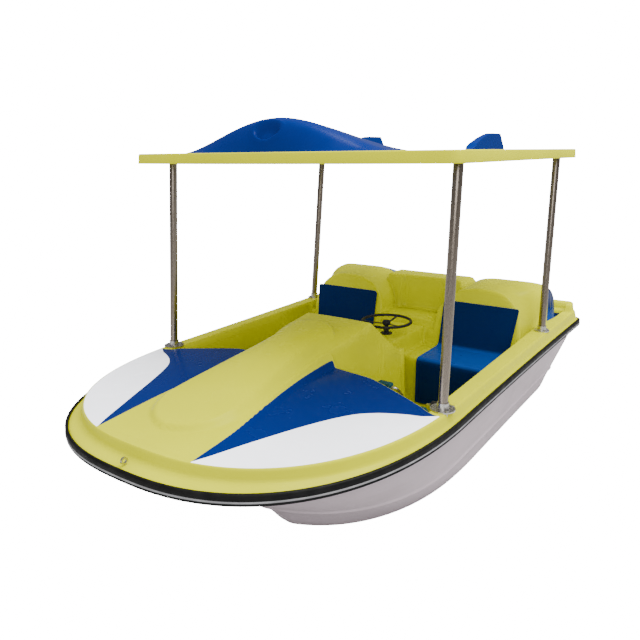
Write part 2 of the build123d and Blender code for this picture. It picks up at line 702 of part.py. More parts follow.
def pedal(side, place):
    """A ribbed roller that turns on its crank pin."""
    x, z = pedal_offset(side, place)
    half = PEDAL_LENGTH / 2
    body = rod((x - half, 0, z), (x + half, 0, z), PEDAL_R)
    body = chamfer(body.edges().filter_by(GeomType.CIRCLE), 4)
    for i in range(6):
        flute = rod((x - half - 1, 0, z), (x + half + 1, 0, z), 5)
        turn = math.radians(60 * i)
        body = body - Pos(0, (PEDAL_R + 1) * math.cos(turn), (PEDAL_R + 1) * math.sin(turn)) * flute
    body = body - rod((x - 100, 0, z), (x + 100, 0, z), BAR_R + RUN_GAP)
    return at_crank(body)


def inner_bearing(side):
    """Flanged bearing on the tunnel wall."""
    x = TUNNEL_HALF + WALL
    body = rod((x, CRANK_Y, CRANK_Z), (x + 6, CRANK_Y, CRANK_Z), 42)
    body = body + rod((x, CRANK_Y, CRANK_Z), (x + 16, CRANK_Y, CRANK_Z), 26)
    return mirrored(body - rod((x - 5, CRANK_Y, CRANK_Z), (x + 40, CRANK_Y, CRANK_Z), BAR_R + RUN_GAP), side)


def outer_bearing(side):
    """Pillow block on a stand that is bolted to the footwell floor."""
    x0 = 570
    x1 = 602
    head = rod((x0, CRANK_Y, CRANK_Z), (x1, CRANK_Y, CRANK_Z), 28)
    leg = side_plate([(CRANK_Y - 60, FLOOR_TOP), (CRANK_Y + 60, FLOOR_TOP), (CRANK_Y + 26, CRANK_Z - 8), (CRANK_Y - 26, CRANK_Z - 8)],
                     x0 + 8, x1 - 8)
    foot = box(x0 - 14, x1 + 14, CRANK_Y - 75, CRANK_Y + 75, FLOOR_TOP, FLOOR_TOP + 6)
    bore = rod((x0 - 5, CRANK_Y, CRANK_Z), (x1 + 5, CRANK_Y, CRANK_Z), BAR_R + RUN_GAP)
    return mirrored(head + leg + foot - bore, side)


# ---------------------------------------------------------------- steering
def steering_wheel():
    rim = Pos(0, COLUMN_Y, WHEEL_Z) * Torus(WHEEL_R, RIM_R)
    hub = rod((0, COLUMN_Y, WHEEL_Z - 26), (0, COLUMN_Y, WHEEL_Z + 8), 26)
    body = rim + hub
    for i in range(3):
        turn = math.radians(90 + 120 * i)
        reach = WHEEL_R - RIM_R + 3
        end = (reach * math.cos(turn), COLUMN_Y + reach * math.sin(turn), WHEEL_Z)
        body = body + rod((0, COLUMN_Y, WHEEL_Z - 12), end, 6)
    return body - rod((0, COLUMN_Y, WHEEL_Z - 40), (0, COLUMN_Y, WHEEL_Z + 2), STOCK_R)


def steering_column():
    return rod((0, COLUMN_Y, ROD_Z - 12), (0, COLUMN_Y, WHEEL_Z + 2), STOCK_R)


def column_bush():
    """Foot flange and bush on the console."""
    body = rod((0, COLUMN_Y, CONSOLE_TOP_Z), (0, COLUMN_Y, CONSOLE_TOP_Z + 5), 38)
    body = body + rod((0, COLUMN_Y, CONSOLE_TOP_Z - 20), (0, COLUMN_Y, CONSOLE_TOP_Z + 28), 17)
    return body - rod((0, COLUMN_Y, 400), (0, COLUMN_Y, 600), STOCK_R + RUN_GAP)


def lever(y, bore_r):
    """An arm from a vertical shaft at y to the rod pin on its port side."""
    z0 = ROD_Z + 7
    z1 = ROD_Z + 17
    body = box(0, ARM_R, y - 11, y + 11, z0, z1) + rod((ARM_R, y, z0), (ARM_R, y, z1), 11) + rod((0, y, z0), (0, y, z1), 22)
    body = body - rod((0, y, 0), (0, y, 700), bore_r)
    return body + rod((ARM_R, y, ROD_Z - 8), (ARM_R, y, z0), 5)


def push_rod():
    """A bar with an eye at each end, from the steering arm to the tiller arm."""
    eyes = rod((ARM_R, COLUMN_Y, ROD_Z - 6), (ARM_R, COLUMN_Y, ROD_Z + 6), 11)
    eyes = eyes + rod((ARM_R, STOCK_Y, ROD_Z - 6), (ARM_R, STOCK_Y, ROD_Z + 6), 11)
    body = eyes + rod((ARM_R, COLUMN_Y, ROD_Z), (ARM_R, STOCK_Y, ROD_Z), 4.5)
    body = body - rod((ARM_R, COLUMN_Y, ROD_Z - 20), (ARM_R, COLUMN_Y, ROD_Z + 20), 5 + RUN_GAP)
    return body - rod((ARM_R, STOCK_Y, ROD_Z - 20), (ARM_R, STOCK_Y, ROD_Z + 20), 5 + LOOSE_GAP)


def rudder_stock():
    return rod((0, STOCK_Y, 60), (0, STOCK_Y, ROD_Z + 17), STOCK_R)


def rudder_tube():
    body = rod((0, STOCK_Y, 218), (0, STOCK_Y, 430), STOCK_R + 5)
    return body - rod((0, STOCK_Y, 100), (0, STOCK_Y, 600), STOCK_R + RUN_GAP)


def rudder_blade():
    """A flat blade with a fuller round the stock."""
    profile = [(STOCK_Y - 42, 40), (STOCK_Y - 42, 112), (STOCK_Y - 16, 168), (STOCK_Y + 20, 214), (STOCK_Y + 118, 214),
               (STOCK_Y + 136, 190), (STOCK_Y + 136, 70), (STOCK_Y + 106, 40)]
    body = side_plate(profile, -4, 4) + rod((0, STOCK_Y, 55), (0, STOCK_Y, 190), STOCK_R + 4)
    return body - rod((0, STOCK_Y, 60), (0, STOCK_Y, 300), STOCK_R)


# ---------------------------------------------------------------- small fittings
def bow_eye():
    """A screw eye through the sloping rim at the bow, square to its surface."""
    shank = rod((0, 0, -22), (0, 0, 14), 5)
    washer = rod((0, 0, 0), (0, 0, 3), 14)
    ring = Pos(0, 0, 25) * Rot(0, 90, 0) * (Cylinder(15, 9) - Cylinder(9, 12))
    return BOW_EYE * (shank + washer + ring)


def drain_plug():
    """A brass plug in the raked transom."""
    body = rod((PLUG_X, 1400, PLUG_Z), (PLUG_X, 1436, PLUG_Z), 12)
    grip = box(PLUG_X - 3, PLUG_X + 3, 1446, 1454, PLUG_Z - 10, PLUG_Z + 10)
    return body + rod((PLUG_X, 1436, PLUG_Z), (PLUG_X, 1446, PLUG_Z), 17) + grip


# ---------------------------------------------------------------- write every part
def all_parts():
    parts = {
        "hull_shell": hull_shell(),
        "paddle_tunnel": paddle_tunnel(),
        "rub_rail": rub_rail(),
        "rail_insert": rail_insert(),
        "foredeck": foredeck(),
        "stern_deck": stern_deck(),
        "wheel_hood": wheel_hood(),
        "centre_console": centre_console(),
        "centre_alcove": centre_alcove(),
        "rear_bench": rear_bench(),
        "flange_bolts": flange_bolts(),
        "canopy_shell": canopy_shell(),
        "canopy_dome": canopy_dome(),
        "crankshaft": crankshaft(),
        "paddle_hub": paddle_hub(),
        "paddle_discs": paddle_discs(),
        "paddle_blades": paddle_blades(),
        "steering_wheel": steering_wheel(),
        "steering_column": steering_column(),
        "column_bush": column_bush(),
        "steering_arm": lever(COLUMN_Y, STOCK_R),
        "push_rod": push_rod(),
        "tiller_arm": lever(STOCK_Y, STOCK_R),
        "rudder_stock": rudder_stock(),
        "rudder_tube": rudder_tube(),
        "rudder_blade": rudder_blade(),
        "bow_eye": bow_eye(),
        "drain_plug": drain_plug(),
    }
    for side in SIDES:
        parts[f"side_deck_{side}"] = side_deck(side)
        parts[f"cockpit_liner_{side}"] = cockpit_liner(side)
        parts[f"backrest_hump_{side}"] = backrest_hump(side)
        parts[f"front_seat_{side}"] = front_seat_shell(side)
        parts[f"rear_seat_{side}"] = rear_seat_shell(side)
        parts[f"canopy_scoop_{side}"] = canopy_scoop(side)
        parts[f"inner_bearing_{side}"] = inner_bearing(side)
        parts[f"outer_bearing_{side}"] = outer_bearing(side)
        for place in ("inner", "outer"):
            parts[f"pedal_{place}_{side}"] = pedal(side, place)
        for end in POST_BASES:
            parts[f"post_{end}_{side}"] = post(end, side)
    parts["post_base_flanges"] = Compound(children=[base_flange(end, side) for end in POST_BASES for side in SIDES])
    parts["post_top_flanges"] = Compound(children=[top_flange(end, side) for end in POST_BASES for side in SIDES])
    return parts


os.makedirs("parts", exist_ok=True)
for name, shape in all_parts().items():
    export_step(shape, f"parts/{name}.step")
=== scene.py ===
import math

import bmesh
import bpy
import numpy as np
from mathutils import Matrix, Vector


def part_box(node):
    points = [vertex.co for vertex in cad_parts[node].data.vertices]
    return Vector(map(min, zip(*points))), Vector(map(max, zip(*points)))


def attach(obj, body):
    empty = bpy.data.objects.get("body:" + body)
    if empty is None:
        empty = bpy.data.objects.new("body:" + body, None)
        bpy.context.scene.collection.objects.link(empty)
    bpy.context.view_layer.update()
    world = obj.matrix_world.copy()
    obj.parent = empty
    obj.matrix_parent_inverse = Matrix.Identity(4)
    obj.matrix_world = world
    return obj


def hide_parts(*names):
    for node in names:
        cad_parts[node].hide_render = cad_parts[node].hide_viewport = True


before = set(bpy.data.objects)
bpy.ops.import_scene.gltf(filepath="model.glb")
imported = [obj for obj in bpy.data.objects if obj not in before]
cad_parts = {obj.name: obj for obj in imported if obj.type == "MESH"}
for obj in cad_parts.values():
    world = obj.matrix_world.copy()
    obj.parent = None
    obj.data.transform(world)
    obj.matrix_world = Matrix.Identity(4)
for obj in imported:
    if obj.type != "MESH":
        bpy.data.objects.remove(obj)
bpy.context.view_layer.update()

# ---------------- driving sizes, read off the frame
RAIL_LOW, RAIL_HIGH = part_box("rub_rail")
BOW_Y = RAIL_LOW[1]
STERN_Y = RAIL_HIGH[1]
DECK_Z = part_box("side_deck_port")[1][2]
SEAT_LOW, SEAT_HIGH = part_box("front_seat_port")
HUMP_LOW, HUMP_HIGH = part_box("backrest_hump_port")
HOOD_LOW, HOOD_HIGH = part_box("wheel_hood")
TUNNEL_LOW, TUNNEL_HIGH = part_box("paddle_tunnel")
ROOF_LOW, ROOF_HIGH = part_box("canopy_shell")
WHEEL_LOW, WHEEL_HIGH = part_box("steering_wheel")

RAIL_HALF_STERN = RAIL_HIGH[0]
RAIL_HALF = RAIL_HALF_STERN - 0.036   # half beam where the bow curve begins
BOW_START_Y = BOW_Y + 1.211
BOW_POWER = 2.5
CORNER = 0.07                         # plan radius of the stern's corners
FLOOR_Z = 0.110
SEAT_Z = 0.400
WELL_FRONT_Y = HOOD_LOW[1]
WELL_STERN_Y = STERN_Y - 0.095
WELL_HALF = HUMP_HIGH[0] + 0.006
SEAT_FRONT_Y = SEAT_LOW[1]
CONSOLE_TOP_Z = 0.510
CONSOLE_HALF = 0.118
LEDGE_Z = 0.555
REAR_PAN_Z = 0.505
COAMING_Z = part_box("stern_deck")[1][2]


# ---------------- small maths
def ease(value):
    """0 to 1 with soft ends."""
    value = np.clip(value, 0, 1)
    return value * value * (3 - 2 * value)


def soft_max(a, b, radius):
    """The larger of two heights, with a fillet where they cross."""
    gap = np.clip(radius - np.abs(a - b), 0, None) / radius
    return np.maximum(a, b) + gap * gap * radius / 4


def soft_min(a, b, radius):
    return -soft_max(-a, -b, radius)


def round_box(x, y, x0, x1, y0, y1, radius):
    """Signed distance in plan from a round-cornered rectangle, negative inside."""
    dx = np.abs(x - (x0 + x1) / 2) - (x1 - x0) / 2 + radius
    dy = np.abs(y - (y0 + y1) / 2) - (y1 - y0) / 2 + radius
    outside = np.hypot(np.maximum(dx, 0), np.maximum(dy, 0))
    return outside + np.minimum(np.maximum(dx, dy), 0) - radius


def wall(distance, top, bottom, draft, top_radius=0.010, foot_radius=0.016):
    """Height of a drafted wall with a round top edge and foot, by distance from where the top edge begins."""
    tall = np.maximum(top - bottom, 1e-6)
    edge = np.minimum(top_radius, 0.45 * tall)
    foot = np.minimum(foot_radius, 0.45 * tall)
    u = np.clip(distance / top_radius, 0, 1)
    v = np.clip((distance - top_radius) / draft, 0, 1)
    w = np.clip((distance - top_radius - draft) / foot_radius, 0, 1)
    upper = top - edge * (1 - np.sqrt(1 - u * u))
    middle = top - edge - (tall - edge - foot) * v
    lower = bottom + foot * (1 - np.sqrt(1 - (1 - w) ** 2))
    height = np.where(v <= 0, upper, np.where(v < 1, middle, lower))
    return np.where(top > bottom, height, bottom)


def clustered(start, stop, coarse, bands):
    """Values from start to stop, coarse apart, and closer inside each (low, high, step) band."""
    values = [start]
    while values[-1] < stop - 1e-9:
        here = values[-1]
        step = coarse
        for low, high, fine in bands:
            if low - 1e-9 <= here < high - 1e-9:
                step = min(step, fine, max(high - here, 1e-4))
            elif here < low:
                step = min(step, low - here)
        values.append(min(here + step, stop))
    return np.array(values)


# ---------------- plan outline of the boat
def outline_at(t, inset, bow_y, stern_y, start_y=BOW_START_Y, half=RAIL_HALF,
               half_stern=RAIL_HALF_STERN):
    """Port outline: t 0 to 1 is the bow, 1 to 2 the side, 2 to 3 the stern corner, 3 to 4 the transom."""
    t = np.asarray(t, float)
    front = half - inset
    back = half_stern - inset
    turn = (1 - np.clip(t, 0, 1)) * math.pi / 2
    bow_x = front * np.abs(np.cos(turn)) ** (2 / BOW_POWER)
    bow = start_y - (start_y - bow_y) * np.sin(turn) ** (2 / BOW_POWER)
    along = np.clip(t - 1, 0, 1)
    side_x = front + (back - front) * (0.44 * along + 0.56 * along * along)
    side_y = start_y + (stern_y - CORNER - start_y) * along
    angle = np.clip(t - 2, 0, 1) * math.pi / 2
    corner_x = back - CORNER + CORNER * np.cos(angle)
    corner_y = stern_y - CORNER + CORNER * np.sin(angle)
    last_x = (back - CORNER) * (1 - np.clip(t - 3, 0, 1))
    x = np.select([t <= 1, t <= 2, t <= 3], [bow_x, side_x, corner_x], last_x)
    y = np.select([t <= 1, t <= 2, t <= 3], [bow, side_y, corner_y], stern_y)
    return x, y


def t_at(y, bow_y, stern_y, start_y=BOW_START_Y):
    """The parameter at which the port outline passes y, ahead of the transom."""
    bow = np.clip((start_y - y) / (start_y - bow_y), 0, 1) ** (BOW_POWER / 2)
    first = 1 - np.arcsin(bow) / (math.pi / 2)
    corner_y = stern_y - CORNER
    second = 1 + (y - start_y) / (corner_y - start_y)
    third = 2 + np.arcsin(np.clip((y - corner_y) / CORNER, 0, 1)) / (math.pi / 2)
    return np.where(y < start_y, first, np.where(y < corner_y, second, third))


PANEL = (0.044, BOW_Y + 0.095, STERN_Y - 0.016)      # inset, bow and stern of the deck's top edge


# ---------------- mesh building
def grid_faces(rows, columns, offset=0, flip=False, closed=False, looped=False):
    """Quads of a grid of points laid out row by row. A closed grid joins the ends of its rows, and a looped
    one joins its last row to its first."""
    row = np.arange(rows if looped else rows - 1)[:, None]
    column = np.arange(columns if closed else columns - 1)[None, :]
    here = row * columns
    next_row = (row + 1) % rows * columns
    next_column = (column + 1) % columns
    quads = np.stack([here + column, here + next_column, next_row + next_column, next_row + column], axis=-1)
    quads = quads.reshape(-1, 4) + offset
    return quads[:, ::-1] if flip else quads


def point_list(x, y, z):
    """Points, row by row, from coordinates that numpy can stretch to one grid."""
    return np.stack(np.broadcast_arrays(x, y, z), axis=-1).reshape(-1, 3)


def round_angles(steps):
    return np.linspace(0, 2 * math.pi, steps, endpoint=False)


def mesh_object(name, points, faces, material, smooth=True, merge=0.0):
    """A mesh at the origin. Its faces are an array of quads or a list of corner lists."""
    mesh = bpy.data.meshes.new(name)
    mesh.from_pydata(np.asarray(points).tolist(), [], faces if isinstance(faces, list) else faces.tolist())
    mesh.update()
    obj = bpy.data.objects.new(name, mesh)
    bpy.context.scene.collection.objects.link(obj)
    if merge:
        weld(mesh, merge)
    mesh.polygons.foreach_set("use_smooth", [smooth] * len(mesh.polygons))
    mesh.materials.append(material)
    return obj


def weld(mesh, distance):
    work = bmesh.new()
    work.from_mesh(mesh)
    bmesh.ops.remove_doubles(work, verts=work.verts, dist=distance)
    bmesh.ops.dissolve_degenerate(work, edges=work.edges, dist=distance / 2)
    work.to_mesh(mesh)
    work.free()


def sweep(name, profile, material, z_shift):
    """A closed (inset, z) profile carried round the boat's outline. Bow and stern follow the inset."""
    t = np.concatenate([np.linspace(0, 1, 90), np.linspace(1, 2, 60)[1:], np.linspace(2, 3, 14)[1:],
                        np.linspace(3, 4, 12)[1:]])
    rings = []
    for inset, z in profile:
        x, y = outline_at(t, inset, BOW_Y + inset, STERN_Y - inset)
        port = np.stack([x, y, np.full_like(x, z + z_shift)], axis=-1)
        other = port[::-1][1:-1] * (-1, 1, 1)
        rings.append(np.concatenate([port, other]))
    points = np.stack(rings, axis=1).reshape(-1, 3)
    faces = grid_faces(len(rings[0]), len(profile), closed=True, looped=True)
    return mesh_object(name, points, faces, material)


def smooth_group(angle=32):
    """Geometry nodes that shade smoothly, except over edges sharper than an angle in degrees."""
    group = bpy.data.node_groups.new("smooth by angle", "GeometryNodeTree")
    for way in ("INPUT", "OUTPUT"):
        group.interface.new_socket("Geometry", in_out=way, socket_type="NodeSocketGeometry")
    tree = group.nodes
    source = tree.new("NodeGroupInput")
    merge = tree.new("GeometryNodeMergeByDistance")
    merge.inputs["Distance"].default_value = 1e-5
    face = tree.new("GeometryNodeSetShadeSmooth")
    face.domain = "FACE"
    edge = tree.new("GeometryNodeSetShadeSmooth")
    edge.domain = "EDGE"
    bend = tree.new("GeometryNodeInputMeshEdgeAngle")
    flat = tree.new("FunctionNodeCompare")
    flat.data_type = "FLOAT"
    flat.operation = "LESS_EQUAL"
    flat.inputs[1].default_value = math.radians(angle)
    out = tree.new("NodeGroupOutput")
    link = group.links.new
    link(source.outputs[0], merge.inputs["Geometry"])
    link(merge.outputs["Geometry"], face.inputs["Geometry"])
    link(face.outputs["Geometry"], edge.inputs["Geometry"])
    link(bend.outputs["Unsigned Angle"], flat.inputs[0])
    link(flat.outputs["Result"], edge.inputs["Shade Smooth"])
    link(edge.outputs["Geometry"], out.inputs[0])
    return group


# ---------------- materials
def new_material(name):
    material = bpy.data.materials.new(name)
    material.use_nodes = True
    tree = material.node_tree
    shader = tree.nodes["Principled BSDF"]
    return material, tree, shader


def noise(tree, scale, detail=3.0, stretch=(1, 1, 1)):
    """A 3-D noise in object metres."""
    coords = tree.nodes.new("ShaderNodeTexCoord")
    mapping = tree.nodes.new("ShaderNodeMapping")
    mapping.inputs["Scale"].default_value = stretch
    texture = tree.nodes.new("ShaderNodeTexNoise")
    texture.inputs["Scale"].default_value = scale
    texture.inputs["Detail"].default_value = detail
    tree.links.new(coords.outputs["Object"], mapping.inputs["Vector"])
    tree.links.new(mapping.outputs["Vector"], texture.inputs["Vector"])
    return texture.outputs["Fac"]


def ranged(tree, source, low, high, from_low=0.3, from_high=0.7):
    node = tree.nodes.new("ShaderNodeMapRange")
    node.inputs["From Min"].default_value = from_low
    node.inputs["From Max"].default_value = from_high
    node.inputs["To Min"].default_value = low
    node.inputs["To Max"].default_value = high
    tree.links.new(source, node.inputs["Value"])
    return node.outputs["Result"]


def mixed(tree, factor, first, second):
    """Colour first where factor is 0, second where it is 1. Each is a colour or a socket."""
    node = tree.nodes.new("ShaderNodeMix")
    node.data_type = "RGBA"
    tree.links.new(factor, node.inputs["Factor"])
    for socket, value in ((node.inputs["A"], first), (node.inputs["B"], second)):
        if isinstance(value, tuple):
            socket.default_value = (*value, 1)
        else:
            tree.links.new(value, socket)
    return node.outputs["Result"]


def bump(tree, height, strength, distance, onto=None):
    node = tree.nodes.new("ShaderNodeBump")
    node.inputs["Strength"].default_value = strength
    node.inputs["Distance"].default_value = distance
    tree.links.new(height, node.inputs["Height"])
    if onto is not None:
        tree.links.new(onto, node.inputs["Normal"])
    return node.outputs["Normal"]


YELLOW = (0.405, 0.410, 0.000)
BLUE = (0.000, 0.010, 0.095)
NAVY = (0.000, 0.010, 0.060)
# painted light: the brighter blue painted on the seats' upward faces, standing in for light from above
SEAT_PAINTED_LIT_BLUE = (0.000, 0.036, 0.210)
WHITE = (0.900, 0.910, 0.980)
HULL_WHITE = (0.420, 0.355, 0.385)
HULL_STREAK = (0.340, 0.290, 0.305)
DUST = (0.40, 0.38, 0.34)


def gelcoat_finish(tree, shader, colour, roughness=0.22):
    """Brush-laid gelcoat: slight cloudiness, faint ripple from the mould and fine dust."""
    shaded = tree.nodes.new("ShaderNodeHueSaturation")
    tree.links.new(colour, shaded.inputs["Color"])
    tree.links.new(ranged(tree, noise(tree, 2.3, 4.0), 0.93, 1.04), shaded.inputs["Value"])
    dust = ranged(tree, noise(tree, 46, 8.0), 0.0, 0.0015, 0.55, 0.80)
    final = mixed(tree, dust, shaded.outputs["Color"], DUST)
    tree.links.new(final, shader.inputs["Base Color"])
    rough = ranged(tree, noise(tree, 9, 6.0), roughness - 0.05, roughness + 0.09)
    tree.links.new(rough, shader.inputs["Roughness"])
    ripple = bump(tree, noise(tree, 7, 2.0), 0.06, 0.004)
    peel = bump(tree, noise(tree, 260, 2.0), 0.05, 0.0006, ripple)
    tree.links.new(peel, shader.inputs["Normal"])
    shader.inputs["Specular IOR Level"].default_value = 0.05


def plain_colour(tree, colour):
    node = tree.nodes.new("ShaderNodeRGB")
    node.outputs[0].default_value = (*colour, 1)
    return node.outputs[0]


def gelcoat(name, colour, roughness=0.22):
    material, tree, shader = new_material(name)
    gelcoat_finish(tree, shader, plain_colour(tree, colour), roughness)
    return material


def attribute(tree, name):
    node = tree.nodes.new("ShaderNodeAttribute")
    node.attribute_name = name
    return node.outputs["Fac"]


def seat_navy_with_painted_top_light(tree):
    """The seats' dark blue with painted light: a brighter blue is painted where the surface faces up,
    standing in for light from above.
    """
    parts = tree.nodes.new("ShaderNodeSeparateXYZ")
    tree.links.new(tree.nodes.new("ShaderNodeNewGeometry").outputs["Normal"], parts.inputs["Vector"])
    painted_top_light = ranged(tree, parts.outputs["Z"], 0.0, 1.0, 0.45, 0.95)
    return mixed(tree, painted_top_light, NAVY, SEAT_PAINTED_LIT_BLUE)


PAINTS = ("blue", "white", "pan")      # the deck's signed-distance attributes


def deck_gelcoat():
    """Yellow deck with blue and white flashes. A paint's edge is where its signed distance is zero."""
    material, tree, shader = new_material("gelcoat deck")
    edge = 0.0008
    blue, white, navy = (ranged(tree, attribute(tree, name), 0.0, 1.0, -edge, edge) for name in PAINTS)
    colour = mixed(tree, blue, YELLOW, BLUE)
    colour = mixed(tree, white, colour, WHITE)
    # the rear pan takes the seats' navy, with its painted top light on upward faces
    colour = mixed(tree, navy, colour, seat_navy_with_painted_top_light(tree))
    gelcoat_finish(tree, shader, colour)
    return material


def seat_gelcoat():
    material, tree, shader = new_material("gelcoat navy")
    # navy with painted light: a brighter blue painted on faces that point up
    gelcoat_finish(tree, shader, seat_navy_with_painted_top_light(tree), 0.30)
    return material


def hull_gelcoat():
    """Off-white underbody, faintly streaked."""
    material, tree, shader = new_material("gelcoat hull")
    streak = ranged(tree, noise(tree, 3.0, 5.0, (1, 1, 6)), 0.0, 0.5, 0.45, 0.75)
    colour = mixed(tree, streak, HULL_WHITE, HULL_STREAK)
    gelcoat_finish(tree, shader, colour, 0.34)
    return material


def brushed(name, colour, stretch, roughness=0.30):
    material, tree, shader = new_material(name)
    lines = noise(tree, 90, 6.0, stretch)
    tone = ranged(tree, lines, 0.0, 1.0)
    dull = tuple(0.72 * c for c in colour)
    tree.links.new(mixed(tree, tone, dull, colour), shader.inputs["Base Color"])
    tree.links.new(ranged(tree, lines, roughness - 0.07, roughness + 0.12), shader.inputs["Roughness"])
    tree.links.new(bump(tree, lines, 0.12, 0.0004), shader.inputs["Normal"])
    shader.inputs["Metallic"].default_value = 1.0
    shader.inputs["Anisotropic"].default_value = 0.4
    return material


def moulded(name, colour, roughness):
    """Moulded plastic or rubber with a fine grain and rubbed patches."""
    material, tree, shader = new_material(name)
    wear = ranged(tree, noise(tree, 14, 5.0), 0.0, 1.0, 0.45, 0.8)
    lighter = tuple(min(c * 1.5 + 0.003, 1) for c in colour)
    tree.links.new(mixed(tree, wear, colour, lighter), shader.inputs["Base Color"])
    rough = ranged(tree, noise(tree, 30, 4.0), roughness - 0.08, roughness + 0.12)
    tree.links.new(rough, shader.inputs["Roughness"])
    tree.links.new(bump(tree, noise(tree, 420, 2.0), 0.2, 0.0005), shader.inputs["Normal"])
    shader.inputs["Specular IOR Level"].default_value = 0.12
    return material


DECK = deck_gelcoat()
HULL = hull_gelcoat()
ROOF_YELLOW = gelcoat("gelcoat yellow", YELLOW)
ROOF_BLUE = gelcoat("gelcoat blue", BLUE, 0.26)
SEAT_NAVY = seat_gelcoat()
POST_STEEL = brushed("stainless tube", (0.27, 0.23, 0.19), (9, 9, 0.12), 0.24)
FITTING_STEEL = brushed("stainless fitting", (0.60, 0.58, 0.55), (1, 1, 1), 0.26)
ALUMINIUM = brushed("mill aluminium", (0.62, 0.63, 0.65), (0.3, 4, 4), 0.38)
RUBBER = moulded("black rubber", (0.003, 0.003, 0.003), 0.55)
STRIP = moulded("grey strip", (0.150, 0.150, 0.155), 0.50)
PEDAL = moulded("teal plastic", (0.004, 0.040, 0.050), 0.42)
BLACK = moulded("black plastic", (0.014, 0.014, 0.016), 0.38)
BRASS = brushed("dull brass", (0.52, 0.36, 0.14), (1, 1, 1), 0.35)


# ---------------- deck moulding: shape
def table(values, y):
    """Smooth reading of (y, value) rows."""
    ys, vs = np.array(values).T
    slope = np.gradient(vs, ys)
    i = np.clip(np.searchsorted(ys, y) - 1, 0, len(ys) - 2)
    h = ys[i + 1] - ys[i]
    u = np.clip((y - ys[i]) / h, 0, 1)
    a = (1 + 2 * u) * (1 - u) ** 2 * vs[i] + u * (1 - u) ** 2 * h * slope[i]
    b = u * u * (3 - 2 * u) * vs[i + 1] + u * u * (u - 1) * h * slope[i + 1]
    return a + b


# Along the foredeck: half width of the hood's foot, height of its foot, of its shoulder and of its middle
HOOD_FOOT_X = [(-1.46, 0.264), (-1.22, 0.258), (-0.97, 0.226), (-0.80, 0.204), (-0.60, 0.184), (-0.47, 0.186),
               (-0.37, 0.208), (-0.08, 0.210), (0.20, 0.236)]
HOOD_FOOT_Z = [(-1.46, 0.560), (-1.10, 0.583), (-0.83, 0.598), (-0.56, 0.603), (-0.48, 0.604)]
HOOD_SHOULDER_Z = [(-1.46, 0.560), (-1.25, 0.584), (-1.10, 0.604), (-0.83, 0.632), (-0.50, 0.674),
                   (-0.30, 0.711), (-0.08, 0.744)]
HOOD_TOP_Z = 0.749
HOOD_MIDDLE_Z = [(-1.46, 0.562), (-1.34, 0.576), (-1.20, 0.600), (-1.00, 0.642), (-0.80, 0.682),
                 (-0.60, 0.712), (-0.48, 0.727), (-0.25, 0.744), (-0.08, HOOD_TOP_Z)]
HOOD_SLOPE = 0.285         # length of the raked rear face in plan
HOOD_SLOPE_Y = HOOD_HIGH[1] - HOOD_SLOPE
TONGUE_RISE = 0.025        # the raised tongue on the hood
TONGUE_FRONT_Y = -1.358
TONGUE_REAR_Y = -0.240


def panel_edge(y):
    """Half width of the deck's top edge at y."""
    return outline_at(t_at(y, PANEL[1], PANEL[2]), *PANEL)[0]


def well_half(y):
    return WELL_HALF + 0.04 * ease((y - 0.95) / 0.40)


def well_front(x):
    """The cockpit's front edge, swept forward at both sides."""
    out = np.clip((np.abs(x) - 0.42) / 0.41, 0, 1)
    return WELL_FRONT_Y + 0.03 - 0.168 * out ** 1.15


def foredeck_height(x, y):
    """The crowned foredeck without the hood."""
    foot_x = table(HOOD_FOOT_X, y)
    foot_z = table(HOOD_FOOT_Z, y)
    share = (panel_edge(y) - np.abs(x)) / np.maximum(panel_edge(y) - foot_x, 0.02)
    level = ease((y + 0.74) / 0.14) * ease((np.abs(x) - 0.74) / 0.06)
    return DECK_Z + (foot_z - DECK_Z) * np.clip(share, 0, 1) * (1 - level)


def tongue(x, y):
    """Height added by the raised tongue on the hood: round nose, tapering sides, arched rear crease."""
    half = 0.235 - 0.075 * ease((y + 1.25) / 0.9)
    nose = 0.24
    into_nose = np.clip((TONGUE_FRONT_Y + nose - y) / nose, 0, 1)
    half = half * np.sqrt(np.clip(1 - into_nose ** 2.2, 0, 1))
    sides = (half - np.abs(x)) / 0.055
    rear = TONGUE_REAR_Y - 0.12 * (np.abs(x) / 0.17) ** 2
    back = (rear - y) / 0.016
    return TONGUE_RISE * ease(np.minimum(sides, 1)) * ease(back)


def hood_height(x, y):
    """Top surface of the hood. It stands on the foredeck and runs aft over the paddle wheel."""
    foot_x = table(HOOD_FOOT_X, y)
    shoulder = table(HOOD_SHOULDER_Z, y)
    middle = table(HOOD_MIDDLE_Z, y)
    share = np.clip(np.abs(x) / (foot_x - 0.008), 0, 1)
    dome = shoulder + (middle - shoulder) * (1 - share ** 2.6)
    return dome + tongue(x, y)


def hood_draft(y):
    """How far the hood's sides lean out. They lean more beside the paddle wheel."""
    return 0.014 + 0.010 * ease((y + 0.95) / 0.45) + 0.010 * ease((y - WELL_FRONT_Y - 0.02) / 0.04)


def hood_rear_plane(y):
    """The raked face from the hood's rear edge down to the console."""
    return HOOD_TOP_Z - (y - HOOD_SLOPE_Y) * (HOOD_TOP_Z - CONSOLE_TOP_Z) / HOOD_SLOPE


# The rear slope of the seat backs, rounding over from the top down to the rear pan
REAR_SLOPE = [(1.12, 0.850), (1.19, 0.806), (1.26, 0.762), (1.32, 0.700), (1.36, 0.628), (1.39, 0.550),
              (1.405, REAR_PAN_Z)]
HUMP_MIDDLE = (HUMP_LOW[0] + HUMP_HIGH[0]) / 2


def hump_arch(x, y):
    """Height of the two backrest arches. They widen outwards and rise a little towards the stern."""
    off = np.abs(x) - HUMP_MIDDLE
    outer = 0.257 + (WELL_HALF - HUMP_MIDDLE + 0.002 - 0.257) * ease((y - 0.80) / 0.30)
    share = np.clip(np.abs(off) / np.where(off > 0, outer, 0.305), 0, 1)
    top = HUMP_HIGH[2] - 0.012 * (1 - ease((y - 0.82) / 0.25))
    power = 2.5 + 4.0 * ease((y - 0.90) / 0.30) * (off > 0)
    return 0.50 + (top - 0.50) * (1 - share ** power) ** (1 / power)


